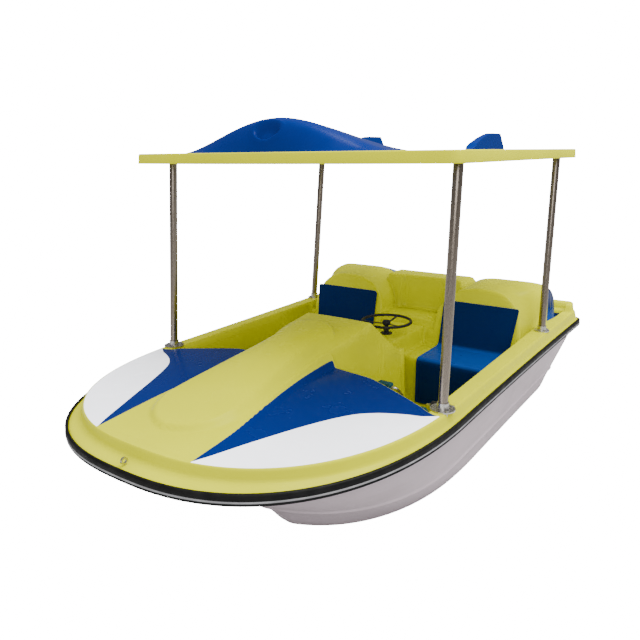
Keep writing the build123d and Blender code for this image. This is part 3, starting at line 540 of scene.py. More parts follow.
def hump_height(x, y):
    """The bulkhead of two seat backs: raked front, rounded arch, sloped rear, and the alcove between them."""
    block = wall(np.maximum(np.abs(x) - 0.26, 1.035 - y), 0.790, 0.40, 0.06, 0.02, 0.02)
    block = np.where(np.abs(x) < 0.5, block, 0.40)
    crest = soft_max(hump_arch(x, y), block, 0.02)
    front = SEAT_Z + (y - HUMP_LOW[1]) / 0.2325
    return soft_min(soft_min(crest, front, 0.035), table(REAR_SLOPE, y), 0.03)


def well_inside(x, y):
    """Height inside the cockpit."""
    floor = np.full_like(x, FLOOR_Z)
    seat = wall(SEAT_FRONT_Y + 0.026 - y, SEAT_Z, floor, 0.008, 0.012)
    rear_pan = wall(1.25 - y, REAR_PAN_Z, seat, 0.02)
    height = np.maximum(seat, rear_pan)
    ledge = wall(np.maximum(np.abs(x) - 0.236, 0.795 - y), LEDGE_Z, height, 0.010, 0.008)
    height = np.where(y < 1.1, np.maximum(height, ledge), height)
    hump = hump_height(x, y)
    alcove = round_box(x, y, -0.202, 0.202, 0.60, 1.038, 0.085)
    carved = wall(-alcove + 0.004, np.maximum(hump, 0.56), LEDGE_Z, 0.012, 0.016, 0.020)
    carved = np.where(alcove < 0.004, np.minimum(carved, hump), hump)
    behind = np.where(alcove < -0.02, height, np.maximum(height, carved))
    recess = np.maximum(np.minimum(carved, np.maximum(hump, LEDGE_Z)), behind)
    height = np.where((alcove < 0.004) & (y < 1.05), recess, np.maximum(height, hump))
    console = wall(np.maximum(np.abs(x) - CONSOLE_HALF, y - 0.84), CONSOLE_TOP_Z, height, 0.010, 0.010)
    height = np.where((y > 0.0) & (y < 0.84), np.maximum(height, console), height)
    beyond_tunnel = np.maximum(np.abs(x) - TUNNEL_HIGH[0], y - TUNNEL_HIGH[1]) - 0.012
    tunnel_end = wall(beyond_tunnel, CONSOLE_TOP_Z, height, 0.006, 0.010)
    return np.where((y > 0.0) & (y < 0.30), np.maximum(height, tunnel_end), height)


def deck_height(x, y):
    well = np.maximum.reduce([well_front(x) - y, y - WELL_STERN_Y, np.abs(x) - well_half(y)])
    ahead = well_front(x)
    outside = np.where(y < ahead + 0.10, foredeck_height(x, np.minimum(y, ahead)), DECK_Z)
    inside = well_inside(x, y)
    front = wall(y - ahead, outside, inside, 0.012 + 1.5 * (well_front(0.0) - ahead))
    height = np.where(well < 0, np.maximum(front, wall(-well, outside, inside, 0.012)), outside)
    beside = np.abs(x) - table(HOOD_FOOT_X, np.minimum(y, 0.2)) + 0.008
    top = hood_height(x, np.minimum(y, HOOD_SLOPE_Y))
    top = soft_min(top, np.where(y > -0.2, hood_rear_plane(y), 9.0), 0.012)
    hood = wall(beside, top, height, hood_draft(y), 0.012, 0.012)
    height = np.where(y < HOOD_HIGH[1] + 0.01, np.maximum(height, hood), height)
    return height + coaming(x, y, well)


def coaming(x, y, well):
    """The raised rim round the stern."""
    inner = well - 0.006
    outer = np.minimum(panel_edge(y) - np.abs(x), PANEL[2] - y) - 0.002
    start = (y - 1.425) / 0.035
    return (COAMING_Z - DECK_Z) * ease(inner / 0.008) * ease(outer / 0.008) * ease(start)


# ---------------- deck moulding: paint
# The edge between the blue and the white, from the bow aft
BLUE_EDGE = [(0.272, -1.468), (0.305, -1.400), (0.345, -1.300), (0.395, -1.180), (0.450, -1.050),
             (0.512, -0.920), (0.572, -0.820), (0.640, -0.752), (0.720, -0.700), (0.790, -0.662),
             (0.850, -0.617)]


def line_side(points, x, y):
    """Signed plan distance from a polyline of (x, y) points, positive on its right as it runs aft."""
    best = np.full_like(x, 9.0)
    side = np.zeros_like(x)
    for (x0, y0), (x1, y1) in zip(points, points[1:]):
        dx, dy = x1 - x0, y1 - y0
        along = np.clip(((x - x0) * dx + (y - y0) * dy) / (dx * dx + dy * dy), 0, 1)
        distance = np.hypot(x - x0 - along * dx, y - y0 - along * dy)
        cross = (x - x0) * dy - (y - y0) * dx
        nearer = distance < best
        best = np.where(nearer, distance, best)
        side = np.where(nearer, np.sign(cross), side)
    return best * side


def smooth_line(points, steps=8):
    """More points on a Catmull-Rom curve through a few."""
    p = np.array(points)
    p = np.vstack([p[0] * 2 - p[1], p, p[-1] * 2 - p[-2]])
    u = (np.arange(steps) / steps)[:, None]
    curve = []
    for a, b, c, d in zip(p, p[1:], p[2:], p[3:]):
        bend = (a * 2 - b * 5 + c * 4 - d) * u * u + (b * 3 - a - c * 3 + d) * u ** 3
        curve.append((b * 2 + (c - a) * u + bend) / 2)
    return np.vstack([*curve, p[-2]])


def paint_masks(x, y, z):
    """Signed distances that are positive in the blue, the white and the rear pan's colour."""
    ax = np.abs(x)
    outer = line_side(smooth_line(BLUE_EDGE), ax, y)
    foot = ax - table(HOOD_FOOT_X, y) + 0.006 - hood_draft(y)
    ahead = well_front(x) + 0.0015 - y
    rim = np.minimum(panel_edge(y) - ax - 0.0035, y - PANEL[1] - 0.0035)
    low = z - 0.45
    blue = np.minimum.reduce([foot, ahead, rim, low])
    white = np.minimum.reduce([outer, ahead, rim, foot])
    behind = np.maximum(y - 1.398, np.minimum(y - 1.185, ax - 0.300))
    pan = np.minimum.reduce([well_half(y) - 0.014 - ax, behind, WELL_STERN_Y - 0.016 - y])
    return blue, white, pan


# ---------------- deck moulding: mesh
RIM_LEVELS = [
    # inset, bow end from the rail, stern end from the rail, z
    (0.0415, 0.0935, 0.0155, DECK_Z - 0.0006),
    (0.0385, 0.0920, 0.0145, DECK_Z - 0.003),
    (0.0360, 0.0905, 0.0138, DECK_Z - 0.008),
    (0.0345, 0.0890, 0.0134, DECK_Z - 0.014),
    (0.0295, 0.0860, 0.0130, DECK_Z - 0.036),
    (0.0265, 0.0835, 0.0128, DECK_Z - 0.044),
    (0.0245, 0.0790, 0.0126, DECK_Z - 0.048),
    (0.0225, 0.0710, 0.0125, DECK_Z - 0.0505),
    (0.0170, 0.0430, 0.0124, DECK_Z - 0.0570),
    (0.0140, 0.0220, 0.0123, DECK_Z - 0.0620),
    (0.0120, 0.0130, 0.0122, DECK_Z - 0.0660),
    (0.0120, 0.0120, 0.0120, DECK_Z - 0.0740),
]


def deck_rows():
    """Rows across the boat, as outline parameters, denser at the transverse walls."""
    first = -0.95
    bow = np.linspace(0.0, float(t_at(np.array(first), PANEL[1], PANEL[2])), 56)
    bands = [(-0.53, -0.43, 0.004), (-0.40, -0.15, 0.008), (-0.10, -0.05, 0.004), (0.17, 0.27, 0.005),
             (0.40, 0.46, 0.003), (0.72, 0.90, 0.006), (0.90, 1.06, 0.005), (1.06, 1.36, 0.010),
             (1.36, 1.50, 0.005)]
    y = clustered(first, PANEL[2] - CORNER, 0.014, bands)
    rest = t_at(y[1:], PANEL[1], PANEL[2])
    corner = np.linspace(2, 3, 24)[1:]
    return np.concatenate([bow, rest, corner])


def deck_columns():
    """Nominal half of the columns, from the middle outwards."""
    bands = [(0.10, 0.14, 0.003), (0.14, 0.26, 0.004), (0.76, 0.868, 0.0035)]
    return clustered(0.0, 0.868, 0.013, bands)


def skirt(t, side, first, levels):
    """A strip outwards from the grid's edge through (outline, z) levels."""
    columns = [first]
    for outline, z in levels:
        x, y = outline_at(t, *outline)
        columns.append(np.stack([x * side, y, np.full_like(x, z)], axis=-1))
    return np.stack(columns, axis=1)


def stern_skirt(first, levels):
    """The same strip along the straight part of the stern."""
    share = first[:, 0] / first[-1, 0]
    columns = [first]
    for outline, z in levels:
        wide, stern = outline_at(3.0, *outline)
        columns.append(np.stack([share * wide, np.full_like(share, stern), np.full_like(share, z)], axis=-1))
    return np.stack(columns, axis=1)


def boat_skin(name, t, x, y, z, levels, material, downwards=False, hole=None):
    """One skin: a grid across the boat, carried on over its edge all round."""
    grid = np.stack([x, y, z], axis=-1)
    points = [grid.reshape(-1, 3)]
    main = grid_faces(*x.shape, flip=downwards)
    if hole is not None:
        middle = points[0][main].mean(axis=1)
        main = main[~hole(middle[:, 0], middle[:, 1])]
    faces = [main]
    strips = [(skirt(t, 1, grid[:, -1], levels), False), (skirt(t, -1, grid[:, 0], levels), True),
              (stern_skirt(grid[-1], levels), True)]
    count = x.size
    for strip, turned in strips:
        points.append(strip.reshape(-1, 3))
        faces.append(grid_faces(strip.shape[0], strip.shape[1], count, flip=turned != downwards))
        count += strip.shape[0] * strip.shape[1]
    return mesh_object(name, np.concatenate(points), np.concatenate(faces), material, merge=1e-5)


def deck_moulding():
    """The whole top moulding. Its rows bend forward at the sides, along the cockpit's front edge."""
    row_y = outline_at(deck_rows(), *PANEL)[1][:, None]
    nominal = deck_columns()
    window = ease((row_y + 1.08) / 0.50) * ease((0.10 - row_y) / 0.52)
    y = row_y + window * (well_front(nominal[None, :]) - well_front(0.0))
    edge = panel_edge(y)
    side = well_half(y)
    half = nominal[-1]
    inner = nominal[nominal <= 0.75 + 1e-6][-1]
    scaled = nominal * edge / half
    middle = inner + (nominal - inner) * (side - inner) / (WELL_HALF - inner)
    outer = side + (nominal - WELL_HALF) * (edge - side) / (half - WELL_HALF)
    fitted = np.where(nominal < inner, nominal, np.where(nominal < WELL_HALF, middle, outer))
    roomy = ease((y + 0.95) / 0.30) * (edge > side + 0.004)
    x = scaled * (1 - roomy) + fitted * roomy
    x = np.concatenate([-x[:, :0:-1], x], axis=1)
    y = np.concatenate([y[:, :0:-1], y], axis=1)
    t = np.where(row_y[:, 0] < PANEL[2] - CORNER, t_at(y[:, -1], PANEL[1], PANEL[2]), deck_rows())
    levels = [((inset, BOW_Y + bow, STERN_Y - stern), z) for inset, bow, stern, z in RIM_LEVELS]
    obj = boat_skin("deck_moulding", t, x, y, deck_height(x, y), levels, DECK)
    write_masks(obj)
    return obj


def write_masks(obj):
    mesh = obj.data
    co = np.empty(len(mesh.vertices) * 3)
    mesh.vertices.foreach_get("co", co)
    co = co.reshape(-1, 3)
    for name, values in zip(PAINTS, paint_masks(*co.T)):
        layer = mesh.attributes.new(name, "FLOAT", "POINT")
        layer.data.foreach_set("value", values.astype(np.float32))


# ---------------- hull
# height, half width where the bow curve begins, half width at the stern, where that curve begins, bow, stern
HULL_LEVELS = np.array([
    (0.000, 0.740, 0.748, 0.100, -0.950, 1.300),
    (0.035, 0.766, 0.774, 0.100, -0.985, 1.322),
    (0.130, 0.796, 0.806, -0.150, -1.060, 1.378),
    (0.300, 0.838, 0.862, -0.250, -1.290, 1.480),
    (0.470, 0.880, 0.916, -0.383, -1.500, 1.566),
])


def hull_level(z, out=0.0):
    """Outline of the hull at a height, stepped out a little for the spray rail."""
    half, half_stern, start, bow, stern = (float(table(HULL_LEVELS[:, (0, i)], z)) for i in range(1, 6))
    return (-out, bow - out, stern + out, start, half, half_stern), z


def hull_moulding():
    """The lower moulding, open under the paddle wheel, with a spray rail and a flange under the rub rail."""
    base = hull_level(0.0)[0]
    heights = [0.0008, 0.003, 0.007, 0.013, 0.022, 0.035, 0.055, 0.080, 0.105, 0.130, 0.155, 0.163]
    spray_rail = [(0.168, 0.005), (0.176, 0.006), (0.181, 0.001)]
    flange = [(0.030, 0.090, 0.028, 0.467), (0.024, 0.060, 0.024, 0.4695), (0.0125, 0.0125, 0.0125, 0.470),
              (0.012, 0.012, 0.012, 0.486)]
    levels = [hull_level(z) for z in heights]
    levels += [hull_level(z, out) for z, out in spray_rail]
    levels += [hull_level(z) for z in np.linspace(0.20, 0.462, 12)]
    levels += [((inset, BOW_Y + bow, STERN_Y - stern), z) for inset, bow, stern, z in flange]
    tunnel_x = TUNNEL_HIGH[0]
    bow = np.linspace(0, float(t_at(np.array(TUNNEL_LOW[1]), *base[1:4])), 70)
    side_y = clustered(TUNNEL_LOW[1], base[2] - CORNER, 0.020, [(TUNNEL_LOW[1], TUNNEL_HIGH[1], 0.020)])
    t = np.concatenate([bow, t_at(side_y, *base[1:4])[1:], np.linspace(2, 3, 12)[1:]])
    edge, row_y = outline_at(t, *base)
    half = 0.7
    nominal = np.concatenate([np.linspace(0, tunnel_x, 6), np.linspace(tunnel_x, half, 14)[1:]])
    open_row = (row_y > TUNNEL_LOW[1] - 0.1)[:, None]
    fitted = np.stack([np.interp(nominal, [0, tunnel_x, half], [0, tunnel_x, e]) for e in edge])
    scaled = nominal[None, :] * edge[:, None] / half
    columns = np.where(open_row, fitted, scaled)
    x = np.concatenate([-columns[:, :0:-1], columns], axis=1)
    y = np.repeat(row_y[:, None], x.shape[1], axis=1)

    def over_tunnel(px, py):
        return (np.abs(px) < tunnel_x) & (py > TUNNEL_LOW[1]) & (py < TUNNEL_HIGH[1])

    obj = boat_skin("hull_moulding", t, x, y, np.zeros_like(x), levels, HULL, True, over_tunnel)
    for vertex in obj.data.vertices:
        vertex.co.y += forefoot_hollow(*vertex.co)
    return obj


def forefoot_hollow(x, y, z):
    """How far the forefoot is drawn back between the two rounded noses of the bottom."""
    across = max(0.0, 1 - (x / 0.30) ** 2) ** 2
    return 0.17 * across * float(ease((0.34 - z) / 0.30)) * float(ease((-0.45 - y) / 0.35))


# ---------------- rail
def rub_rail():
    mid = (RAIL_LOW[2] + RAIL_HIGH[2]) / 2 - 0.001
    rubber = [(0.0135, 0.0250), (0.0070, 0.0248), (0.0030, 0.0225), (0.0010, 0.0180), (0.0005, 0.0060),
              (0.0012, -0.0006), (0.0042, -0.0012), (0.0042, -0.0108), (0.0012, -0.0114), (0.0008, -0.0170),
              (0.0030, -0.0210), (0.0070, -0.0236), (0.0135, -0.0238)]
    strip = [(0.0040, -0.0016), (0.0012, -0.0020), (-0.0004, -0.0040), (-0.0008, -0.0060), (-0.0004, -0.0080),
             (0.0012, -0.0100), (0.0040, -0.0104)]
    return sweep("rail_rubber", rubber, RUBBER, mid), sweep("rail_strip", strip, STRIP, mid)


# ---------------- seats
def filleted(points, radius, steps=7):
    """A (y, z) line with its inner corners rounded, and its points a few millimetres apart."""
    path = [points[0]]
    for before, corner, after in zip(points, points[1:], points[2:]):
        c = Vector(corner)
        a = Vector(before) - c
        b = Vector(after) - c
        reach = min(radius, a.length * 0.45, b.length * 0.45)
        start = c + a.normalized() * reach
        end = c + b.normalized() * reach
        for i in range(steps + 1):
            u = i / steps
            q = start * (1 - u) ** 2 + c * 2 * u * (1 - u) + end * u * u
            path.append((q.x, q.y))
    path.append(points[-1])
    dense = [path[0]]
    for a, b in zip(path, path[1:]):
        pieces = max(1, int(math.dist(a, b) / 0.006))
        dense += [tuple(Vector(a).lerp(Vector(b), i / pieces)) for i in range(1, pieces + 1)]
    return dense


def seat_skin(name, path, x0, x1, thick, material, flare=0.0):
    """A thin seat panel that follows a (y, z) line, with round edges and a raised border. The line's far end
    is cut off below the arch of the backrest. The panel widens by flare towards the top."""
    line = np.array(path)
    run = np.concatenate([[0], np.cumsum(np.hypot(*np.diff(line, axis=0).T))])
    slope = np.gradient(line, run, axis=0)
    normal = np.stack([-slope[:, 1], slope[:, 0]], axis=1) / np.linalg.norm(slope, axis=1)[:, None]
    across = clustered(x0, x1, 0.012, [(x0, x0 + 0.024, 0.004), (x1 - 0.024, x1, 0.004)])
    steps = np.linspace(0, 1, 90)
    points = np.empty((len(steps), len(across), 3))
    for column, x in enumerate(across):
        limit = hump_arch(x, line[:, 0]) - 0.018
        covered = np.nonzero(line[:, 1] > np.where(line[:, 1] > 0.56, limit, 9))[0]
        length = run[covered[0]] if len(covered) else run[-1]
        here = steps * length
        ends = np.minimum(here, length - here) + 0.004
        border = np.minimum(min(x - x0, x1 - x), ends)
        raised = 0.0022 * (1 - ease((border - 0.010) / 0.010))
        for axis in (0, 1):
            lift = raised * np.interp(here, run, normal[:, axis])
            points[:, column, axis + 1] = np.interp(here, run, line[:, axis]) + lift
        rise = np.clip((points[:, column, 2] - SEAT_Z - 0.03) / 0.27, 0, 1)
        points[:, column, 0] = x + flare * rise * (x - x0) / (x1 - x0)
    obj = mesh_object(name, points.reshape(-1, 3), grid_faces(len(steps), len(across)), material)
    solid = obj.modifiers.new("thickness", "SOLIDIFY")
    solid.thickness = thick
    solid.offset = 0
    edges = obj.modifiers.new("round edges", "BEVEL")
    edges.width = 0.0018
    edges.segments = 3
    edges.limit_method = "ANGLE"
    edges.angle_limit = math.radians(50)
    edges.harden_normals = True
    return obj


def front_seat(side):
    lean = 0.2325
    top_z = SEAT_Z + 0.297
    low_y = HUMP_LOW[1] - 0.006
    path = filleted([(SEAT_FRONT_Y - 0.004, FLOOR_Z + 0.012), (SEAT_FRONT_Y - 0.004, SEAT_Z + 0.006),
                     (low_y, SEAT_Z + 0.006), (low_y + (top_z - SEAT_Z) * lean, top_z)], 0.035)
    x0, x1 = SEAT_LOW[0], SEAT_HIGH[0]
    obj = seat_skin(f"front_seat_skin_{side}", path, x0, x1, 0.006, SEAT_NAVY, 0.028)
    return obj if side == "port" else flipped(obj)


def rear_seat(side):
    """The rear seat's lining, from the pan up over the rounded rear slope."""
    low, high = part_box("rear_seat_port")
    slope = [(y, float(table(REAR_SLOPE, y)) + 0.004) for y in np.linspace(1.395, 1.225, 12)]
    path = filleted([(WELL_STERN_Y - 0.020, REAR_PAN_Z + 0.006), (1.408, REAR_PAN_Z + 0.006), *slope], 0.02)
    obj = seat_skin(f"rear_seat_skin_{side}", path, low[0] + 0.02, high[0], 0.005, SEAT_NAVY)
    return obj if side == "port" else flipped(obj)


def flipped(obj):
    """Mirrors a piece to starboard."""
    obj.data.transform(Matrix.Scale(-1, 4, (1, 0, 0)))
    obj.data.flip_normals()
    return obj


# ---------------- roof
def arc(x, y, radius, start, stop, steps=8):
    """Points of an arc about (x, y), by angle in radians, both ends included."""
    a = np.linspace(start, stop, steps + 1)
    return np.column_stack([x + radius * np.cos(a), y + radius * np.sin(a)])


def roof_outline(inset, count=40):
    """Points round the roof, from the middle of its bowed front down the port side, round and back."""
    half = ROOF_HIGH[0] - inset
    rear = ROOF_HIGH[1] - inset
    nose = ROOF_LOW[1] + inset
    sag = 0.088
    corner = 0.042
    flat = half - corner
    share = np.linspace(0, 1, count + 1)
    front = np.column_stack([flat * share, nose + sag * share ** 2])
    turn = math.atan2(2 * sag, flat) - math.pi / 2
    bend = arc(flat - corner * math.cos(turn), nose + sag - corner * math.sin(turn), corner, turn, 0)
    front = np.concatenate([front, bend[1:]])
    front[:, 0] += (half - front[-1, 0]) * np.minimum(front[:, 0] / flat, 1)
    side_y = np.linspace(front[-1, 1], rear - corner, count + 1)[1:-1]
    side = np.column_stack([np.full_like(side_y, half), side_y])
    back_x = flat * np.linspace(1, 0, count // 2 + 1)[1:]
    back = np.column_stack([back_x, np.full_like(back_x, rear)])
    port = np.concatenate([front, side, arc(flat, rear - corner, corner, 0, math.pi / 2), back])
    return np.concatenate([port, port[::-1][1:-1] * (-1, 1)])


def canopy_tray():
    """The roof: a flat panel with long shallow ribs, a rolled edge and a lipped skirt."""
    top = ROOF_HIGH[2]
    rim = ROOF_LOW[2]
    outline = roof_outline(0.016)
    under = roof_outline(0.022)
    centre = np.array([0.0, 0.25])
    rings = []
    for share in np.concatenate([np.linspace(0.0, 0.94, 40), [0.96, 0.98, 1.0]]):
        ring = centre + (outline - centre) * share
        off_rib = np.min([np.abs(np.abs(ring[:, 0]) - rib_x) for rib_x in (0.30, 0.62)], axis=0)
        rib = ease(1 - off_rib / 0.022) * ease((0.93 - share) / 0.06)
        rings.append(np.column_stack([ring, top - 0.0035 * (1 - rib)]))
    edges = [(0.0152, top + 0.001), (0.0132, top + 0.0045), (0.0095, top + 0.006), (0.0064, top + 0.0045),
             (0.0044, top), (0.0020, rim + 0.004), (0.0008, rim - 0.004), (0.0010, rim - 0.006),
             (0.0035, rim - 0.0065), (0.0065, rim - 0.005), (0.0080, rim + 0.006), (0.0110, top - 0.014),
             (0.0150, top - 0.0085), (0.0220, top - 0.0068)]
    levels = [(roof_outline(inset), z) for inset, z in edges]
    levels += [(centre + (under - centre) * share, top - 0.0068) for share in np.linspace(0.98, 0.0, 12)]
    rings += [np.column_stack([ring, np.full(len(ring), z)]) for ring, z in levels]
    points = np.stack(rings).reshape(-1, 3)
    faces = grid_faces(len(rings), len(outline), closed=True)
    return mesh_object("canopy_tray", points, faces, ROOF_YELLOW, merge=1e-6)


# Along the dome: its half width, and its height above the roof
DOME_HALF = [(-0.690, 0.47), (-0.655, 0.56), (-0.600, 0.65), (-0.500, 0.665), (-0.350, 0.63), (-0.150, 0.54),
             (0.100, 0.41), (0.350, 0.28), (0.600, 0.15)]
DOME_TALL = [(-0.690, 0.004), (-0.660, 0.080), (-0.635, 0.125), (-0.587, 0.152), (-0.500, 0.146),
             (-0.350, 0.118), (-0.150, 0.084), (0.100, 0.055), (0.350, 0.032), (0.600, 0.009)]


def canopy_dome():
    """The moulded dome with its oval vent."""
    y = np.concatenate([np.linspace(-0.690, -0.560, 46), np.linspace(-0.560, 0.600, 80)[1:]])[:, None]
    share = np.linspace(-1, 1, 161)[None, :]
    bell = np.cos(np.abs(share) * math.pi / 2) ** 1.9
    x = share * table(DOME_HALF, y)
    vent = np.hypot(x / 0.075, (y + 0.645) / 0.024)
    hollow = 0.045 * ease((1.0 - vent) / 0.35)
    lip = 0.005 * np.exp(-((vent - 1.15) / 0.22) ** 2)
    z = ROOF_HIGH[2] + table(DOME_TALL, y) * bell - hollow + lip
    return mesh_object("canopy_dome_skin", point_list(x, y, z), grid_faces(*x.shape), ROOF_BLUE)


def canopy_scoop(side):
    """A narrow moulded fin: long convex ramp, flat top and steep rear, with drafted sides and round edges."""
    low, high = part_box("canopy_scoop_port")
    tall = high[2] - ROOF_HIGH[2]
    middle = (low[0] + high[0]) / 2
    half = (high[0] - low[0]) / 2
    profile = [(0.0, 0.0), (0.04, 0.12), (0.15, 0.42), (0.33, 0.72), (0.50, 0.92), (0.60, 0.99), (0.65, 1.0),
               (0.92, 1.0), (0.935, 0.97), (0.96, 0.62), (0.985, 0.20), (1.0, 0.0)]
    along = clustered(0.0, 1.0, 0.012, [(0.90, 1.0, 0.004)])[:, None]
    tops = np.interp(along, *np.array(profile).T)
    around = np.linspace(-1, 1, 41)[None, :]
    lift = tops * np.minimum(1, (1 - np.abs(around)) / 0.55) ** 0.8
    width = half * (1 - 0.62 * lift) * np.sign(around) * np.minimum(1, np.abs(around) / 0.45)
    x = middle + width * np.minimum(1, 0.25 + 3 * tops)
    y = low[1] + (high[1] - low[1]) * along
    points = point_list(x, y, ROOF_HIGH[2] + tall * lift)
    obj = mesh_object(f"canopy_scoop_skin_{side}", points, grid_faces(*x.shape), ROOF_BLUE)
    return obj if side == "port" else flipped(obj)


# ---------------- steering wheel and pedals
def wheel_boss(centre_y, z):
    """The domed boss, a closed (radius, height) profile turned about the wheel's axis."""
    profile = [(0.0005, 0.004), (0.012, 0.0035), (0.021, 0.001), (0.026, -0.006), (0.0265, -0.022),
               (0.022, -0.030), (0.0005, -0.031)]
    a = round_angles(40)[:, None]
    radius, height = np.array(profile).T
    points = point_list(radius * np.cos(a), centre_y + radius * np.sin(a), z + height)
    faces = grid_faces(a.size, len(profile), flip=True, closed=True, looped=True)
    return mesh_object("wheel_boss", points, faces, BLACK)


def steering_wheel():
    """A ribbed rim on three flat spokes with a domed boss."""
    centre_y = (WHEEL_LOW[1] + WHEEL_HIGH[1]) / 2
    reach = WHEEL_HIGH[0]
    rim_r = 0.0095
    rim_z = WHEEL_HIGH[2] - 0.010
    a = round_angles(180)[:, None]
    b = round_angles(20)[None, :]
    grip = 0.0009 * (np.cos(a * 60) * np.where(np.sin(b) < 0.2, 1, 0.3) - 1)
    r = reach - rim_r + (rim_r + grip) * np.cos(b)
    points = point_list(r * np.cos(a), centre_y + r * np.sin(a), rim_z + (rim_r + grip) * np.sin(b))
    faces = grid_faces(a.size, b.size, closed=True, looped=True)
    pieces = [mesh_object("wheel_rim", points, faces, BLACK), wheel_boss(centre_y, rim_z + 0.004)]
    u = np.linspace(0, 1, 12)[:, None]
    b = round_angles(12)[None, :]
    out = 0.018 + (reach - rim_r - 0.020) * u
    across = (0.011 - 0.003 * np.sin(math.pi * u)) * np.cos(b)
    z = rim_z - 0.014 + 0.013 * ease(u) + 0.0032 * np.sin(b)
    for i in range(3):
        c = math.cos(math.radians(90 + 120 * i))
        s = math.sin(math.radians(90 + 120 * i))
        points = point_list(out * c - across * s, centre_y + out * s + across * c, z)
        pieces.append(mesh_object(f"wheel_spoke_{i + 1}", points, grid_faces(12, 12, closed=True), BLACK))
    return pieces


def pedal(node):
    """A four-sided tread block with rounded ribs on a barrel."""
    low, high = (np.array(corner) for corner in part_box(node))
    middle = (low + high) / 2
    half, radius = (high - low)[:2] / 2
    along = np.linspace(-half, half, 97)[:, None]
    a = round_angles(48)[None, :]
    rounding = np.clip((np.abs(along) - half + 0.010) / 0.010, 0, 1)
    end = np.sqrt(np.maximum(1e-4, 1 - rounding ** 2))
    wave = np.cos(along * 2 * math.pi / 0.0105)
    rib = 0.0016 * np.sign(wave) * np.abs(wave) ** 0.5 * (np.abs(along) < half - 0.012)
    square = 1 / (np.abs(np.cos(a)) ** 5 + np.abs(np.sin(a)) ** 5) ** 0.2
    r = np.minimum((0.0235 * square + rib) * (0.55 + 0.45 * end), radius)
    points = point_list(middle[0] + along, middle[1] + r * np.cos(a), middle[2] + r * np.sin(a))
    faces = grid_faces(along.size, a.size, closed=True).tolist()
    first = list(range(a.size))
    last = [(along.size - 1) * a.size + k for k in first]
    return mesh_object(node + "_tread", points, [*faces, first[::-1], last], PEDAL)


# ---------------- build the boat
def place(piece, body, slot, *nodes):
    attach(piece, body)
    if nodes:
        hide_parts(*nodes)


SIDES = ("port", "starboard")


def both(*names):
    """The port and the starboard node of each name."""
    return [f"{name}_{side}" for name in names for side in SIDES]


place(deck_moulding(), "boat", "gelcoat_yellow", "foredeck", "stern_deck", "wheel_hood", "centre_console",
      "centre_alcove", "rear_bench", *both("side_deck", "cockpit_liner", "backrest_hump"))
place(hull_moulding(), "boat", "gelcoat_hull", "hull_shell")
rubber, strip = rub_rail()
place(rubber, "boat", "rail_rubber", "rub_rail")
place(strip, "boat", "rail_strip", "rail_insert")
place(canopy_tray(), "boat", "gelcoat_yellow", "canopy_shell")
place(canopy_dome(), "boat", "gelcoat_blue", "canopy_dome")
for side in SIDES:
    place(front_seat(side), "boat", "gelcoat_navy", f"front_seat_{side}")
    place(rear_seat(side), "boat", "gelcoat_navy", f"rear_seat_{side}")
    place(canopy_scoop(side), "boat", "gelcoat_blue", f"canopy_scoop_{side}")
    for where in ("inner", "outer"):
        node = f"pedal_{where}_{side}"
        place(pedal(node), node + "_body", "pedal_plastic", node)
for piece in steering_wheel():
    place(piece, "steering", "wheel_black", "steering_wheel")

KEPT = {
    POST_STEEL: both("post_front", "post_rear"),
    FITTING_STEEL: ["post_base_flanges", "post_top_flanges", "flange_bolts", "crankshaft", "push_rod",
                    "steering_arm", "tiller_arm", "rudder_stock", "bow_eye"],
    ALUMINIUM: ["paddle_hub", "paddle_discs", "paddle_blades", "rudder_blade"],
    BLACK: [*both("inner_bearing", "outer_bearing"), "column_bush", "rudder_tube", "steering_column"],
    BRASS: ["drain_plug"],
    HULL: ["paddle_tunnel"],
}
smoothing = smooth_group()
for material, nodes in KEPT.items():
    for node in nodes:
        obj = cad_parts[node]
        obj.modifiers.clear()
        obj.modifiers.new("smooth by angle", "NODES").node_group = smoothing
        obj.data.materials.clear()
        obj.data.materials.append(material)


# ---------------- floor, light and camera
def combined(tree, operation, first, second):
    node = tree.nodes.new("ShaderNodeMath")
    node.operation = operation
    tree.links.new(first, node.inputs[0])
    tree.links.new(second, node.inputs[1])
    return node.outputs["Value"]


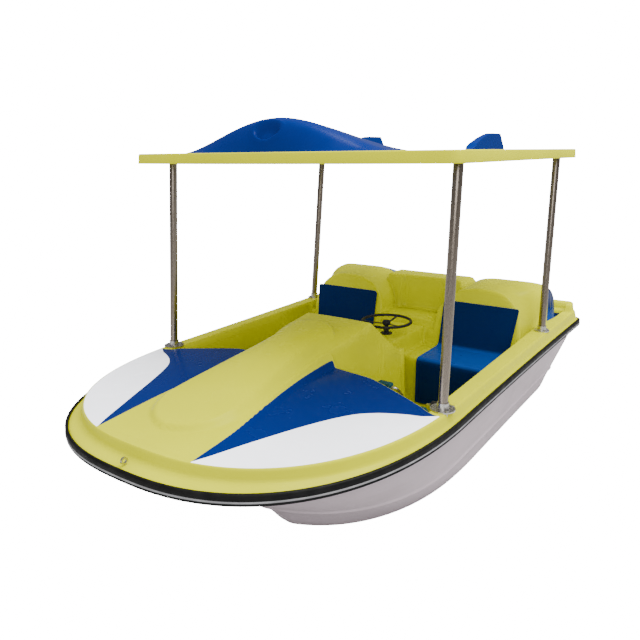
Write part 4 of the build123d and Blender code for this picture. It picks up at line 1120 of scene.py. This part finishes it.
def studio():
    """A floor and a surround that are white to the camera. The surround lights the boat a little more from
    overhead, and is dimmed in its reflections."""
    material, tree, shader = new_material("studio floor")
    shader.inputs["Base Color"].default_value = (0.36, 0.36, 0.36, 1)
    shader.inputs["Roughness"].default_value = 0.9
    shader.inputs["Specular IOR Level"].default_value = 0.1
    shader.inputs["Emission Color"].default_value = (1, 1, 1, 1)
    rays = tree.nodes.new("ShaderNodeLightPath").outputs
    glow = ranged(tree, rays["Is Camera Ray"], 0.0, 16.0, 0.0, 1.0)
    tree.links.new(glow, shader.inputs["Emission Strength"])
    points = [(-40, -40, -0.001), (40, -40, -0.001), (40, 40, -0.001), (-40, 40, -0.001)]
    mesh_object("studio_floor", points, [(0, 1, 2, 3)], material, smooth=False)
    world = bpy.data.worlds.new("studio")
    bpy.context.scene.world = world
    world.use_nodes = True
    tree = world.node_tree
    background = tree.nodes["Background"]
    coords = tree.nodes.new("ShaderNodeTexCoord")
    parts = tree.nodes.new("ShaderNodeSeparateXYZ")
    tree.links.new(coords.outputs["Generated"], parts.inputs["Vector"])
    rays = tree.nodes.new("ShaderNodeLightPath").outputs
    overhead = ranged(tree, parts.outputs["Z"], 2.15, 2.45, 0.15, 0.95)
    in_gloss = ranged(tree, rays["Is Glossy Ray"], 1.0, 0.12, 0.0, 1.0)
    to_camera = ranged(tree, rays["Is Camera Ray"], 0.0, 18.0, 0.0, 1.0)
    strength = combined(tree, "MAXIMUM", combined(tree, "MULTIPLY", overhead, in_gloss), to_camera)
    tree.links.new(strength, background.inputs["Strength"])
    background.inputs["Color"].default_value = (1, 1, 1, 1)


def area_light(name, position, target, size, power):
    data = bpy.data.lights.new(name, "AREA")
    data.shape = "RECTANGLE"
    data.size, data.size_y = size
    data.energy = power
    obj = bpy.data.objects.new(name, data)
    obj.location = position
    obj.rotation_euler = (Vector(target) - Vector(position)).to_track_quat("-Z", "Y").to_euler()
    bpy.context.scene.collection.objects.link(obj)


def camera():
    forward = Vector((-0.5521, 0.7909, -0.2639)).normalized()
    level = forward.cross(Vector((0, 0, 1))).normalized()
    upright = level.cross(forward)
    roll = -0.0122
    right = level * math.cos(roll) + upright * math.sin(roll)
    up = upright * math.cos(roll) - level * math.sin(roll)
    data = bpy.data.cameras.new("camera")
    data.sensor_width = 36
    data.lens = 34.31
    obj = bpy.data.objects.new("camera", data)
    turn = Matrix((right, up, -forward)).transposed()
    obj.matrix_world = Matrix.Translation((1.798, -2.830, 1.629)) @ turn.to_4x4()
    bpy.context.scene.collection.objects.link(obj)
    bpy.context.scene.camera = obj


studio()
area_light("key", (1.5, 0.6, 5.0), (0, 0, 0.4), (4.0, 4.0), 560)
area_light("front fill", (2.5, -5.0, 2.6), (0, -0.2, 0.6), (3.0, 2.0), 85)
camera()
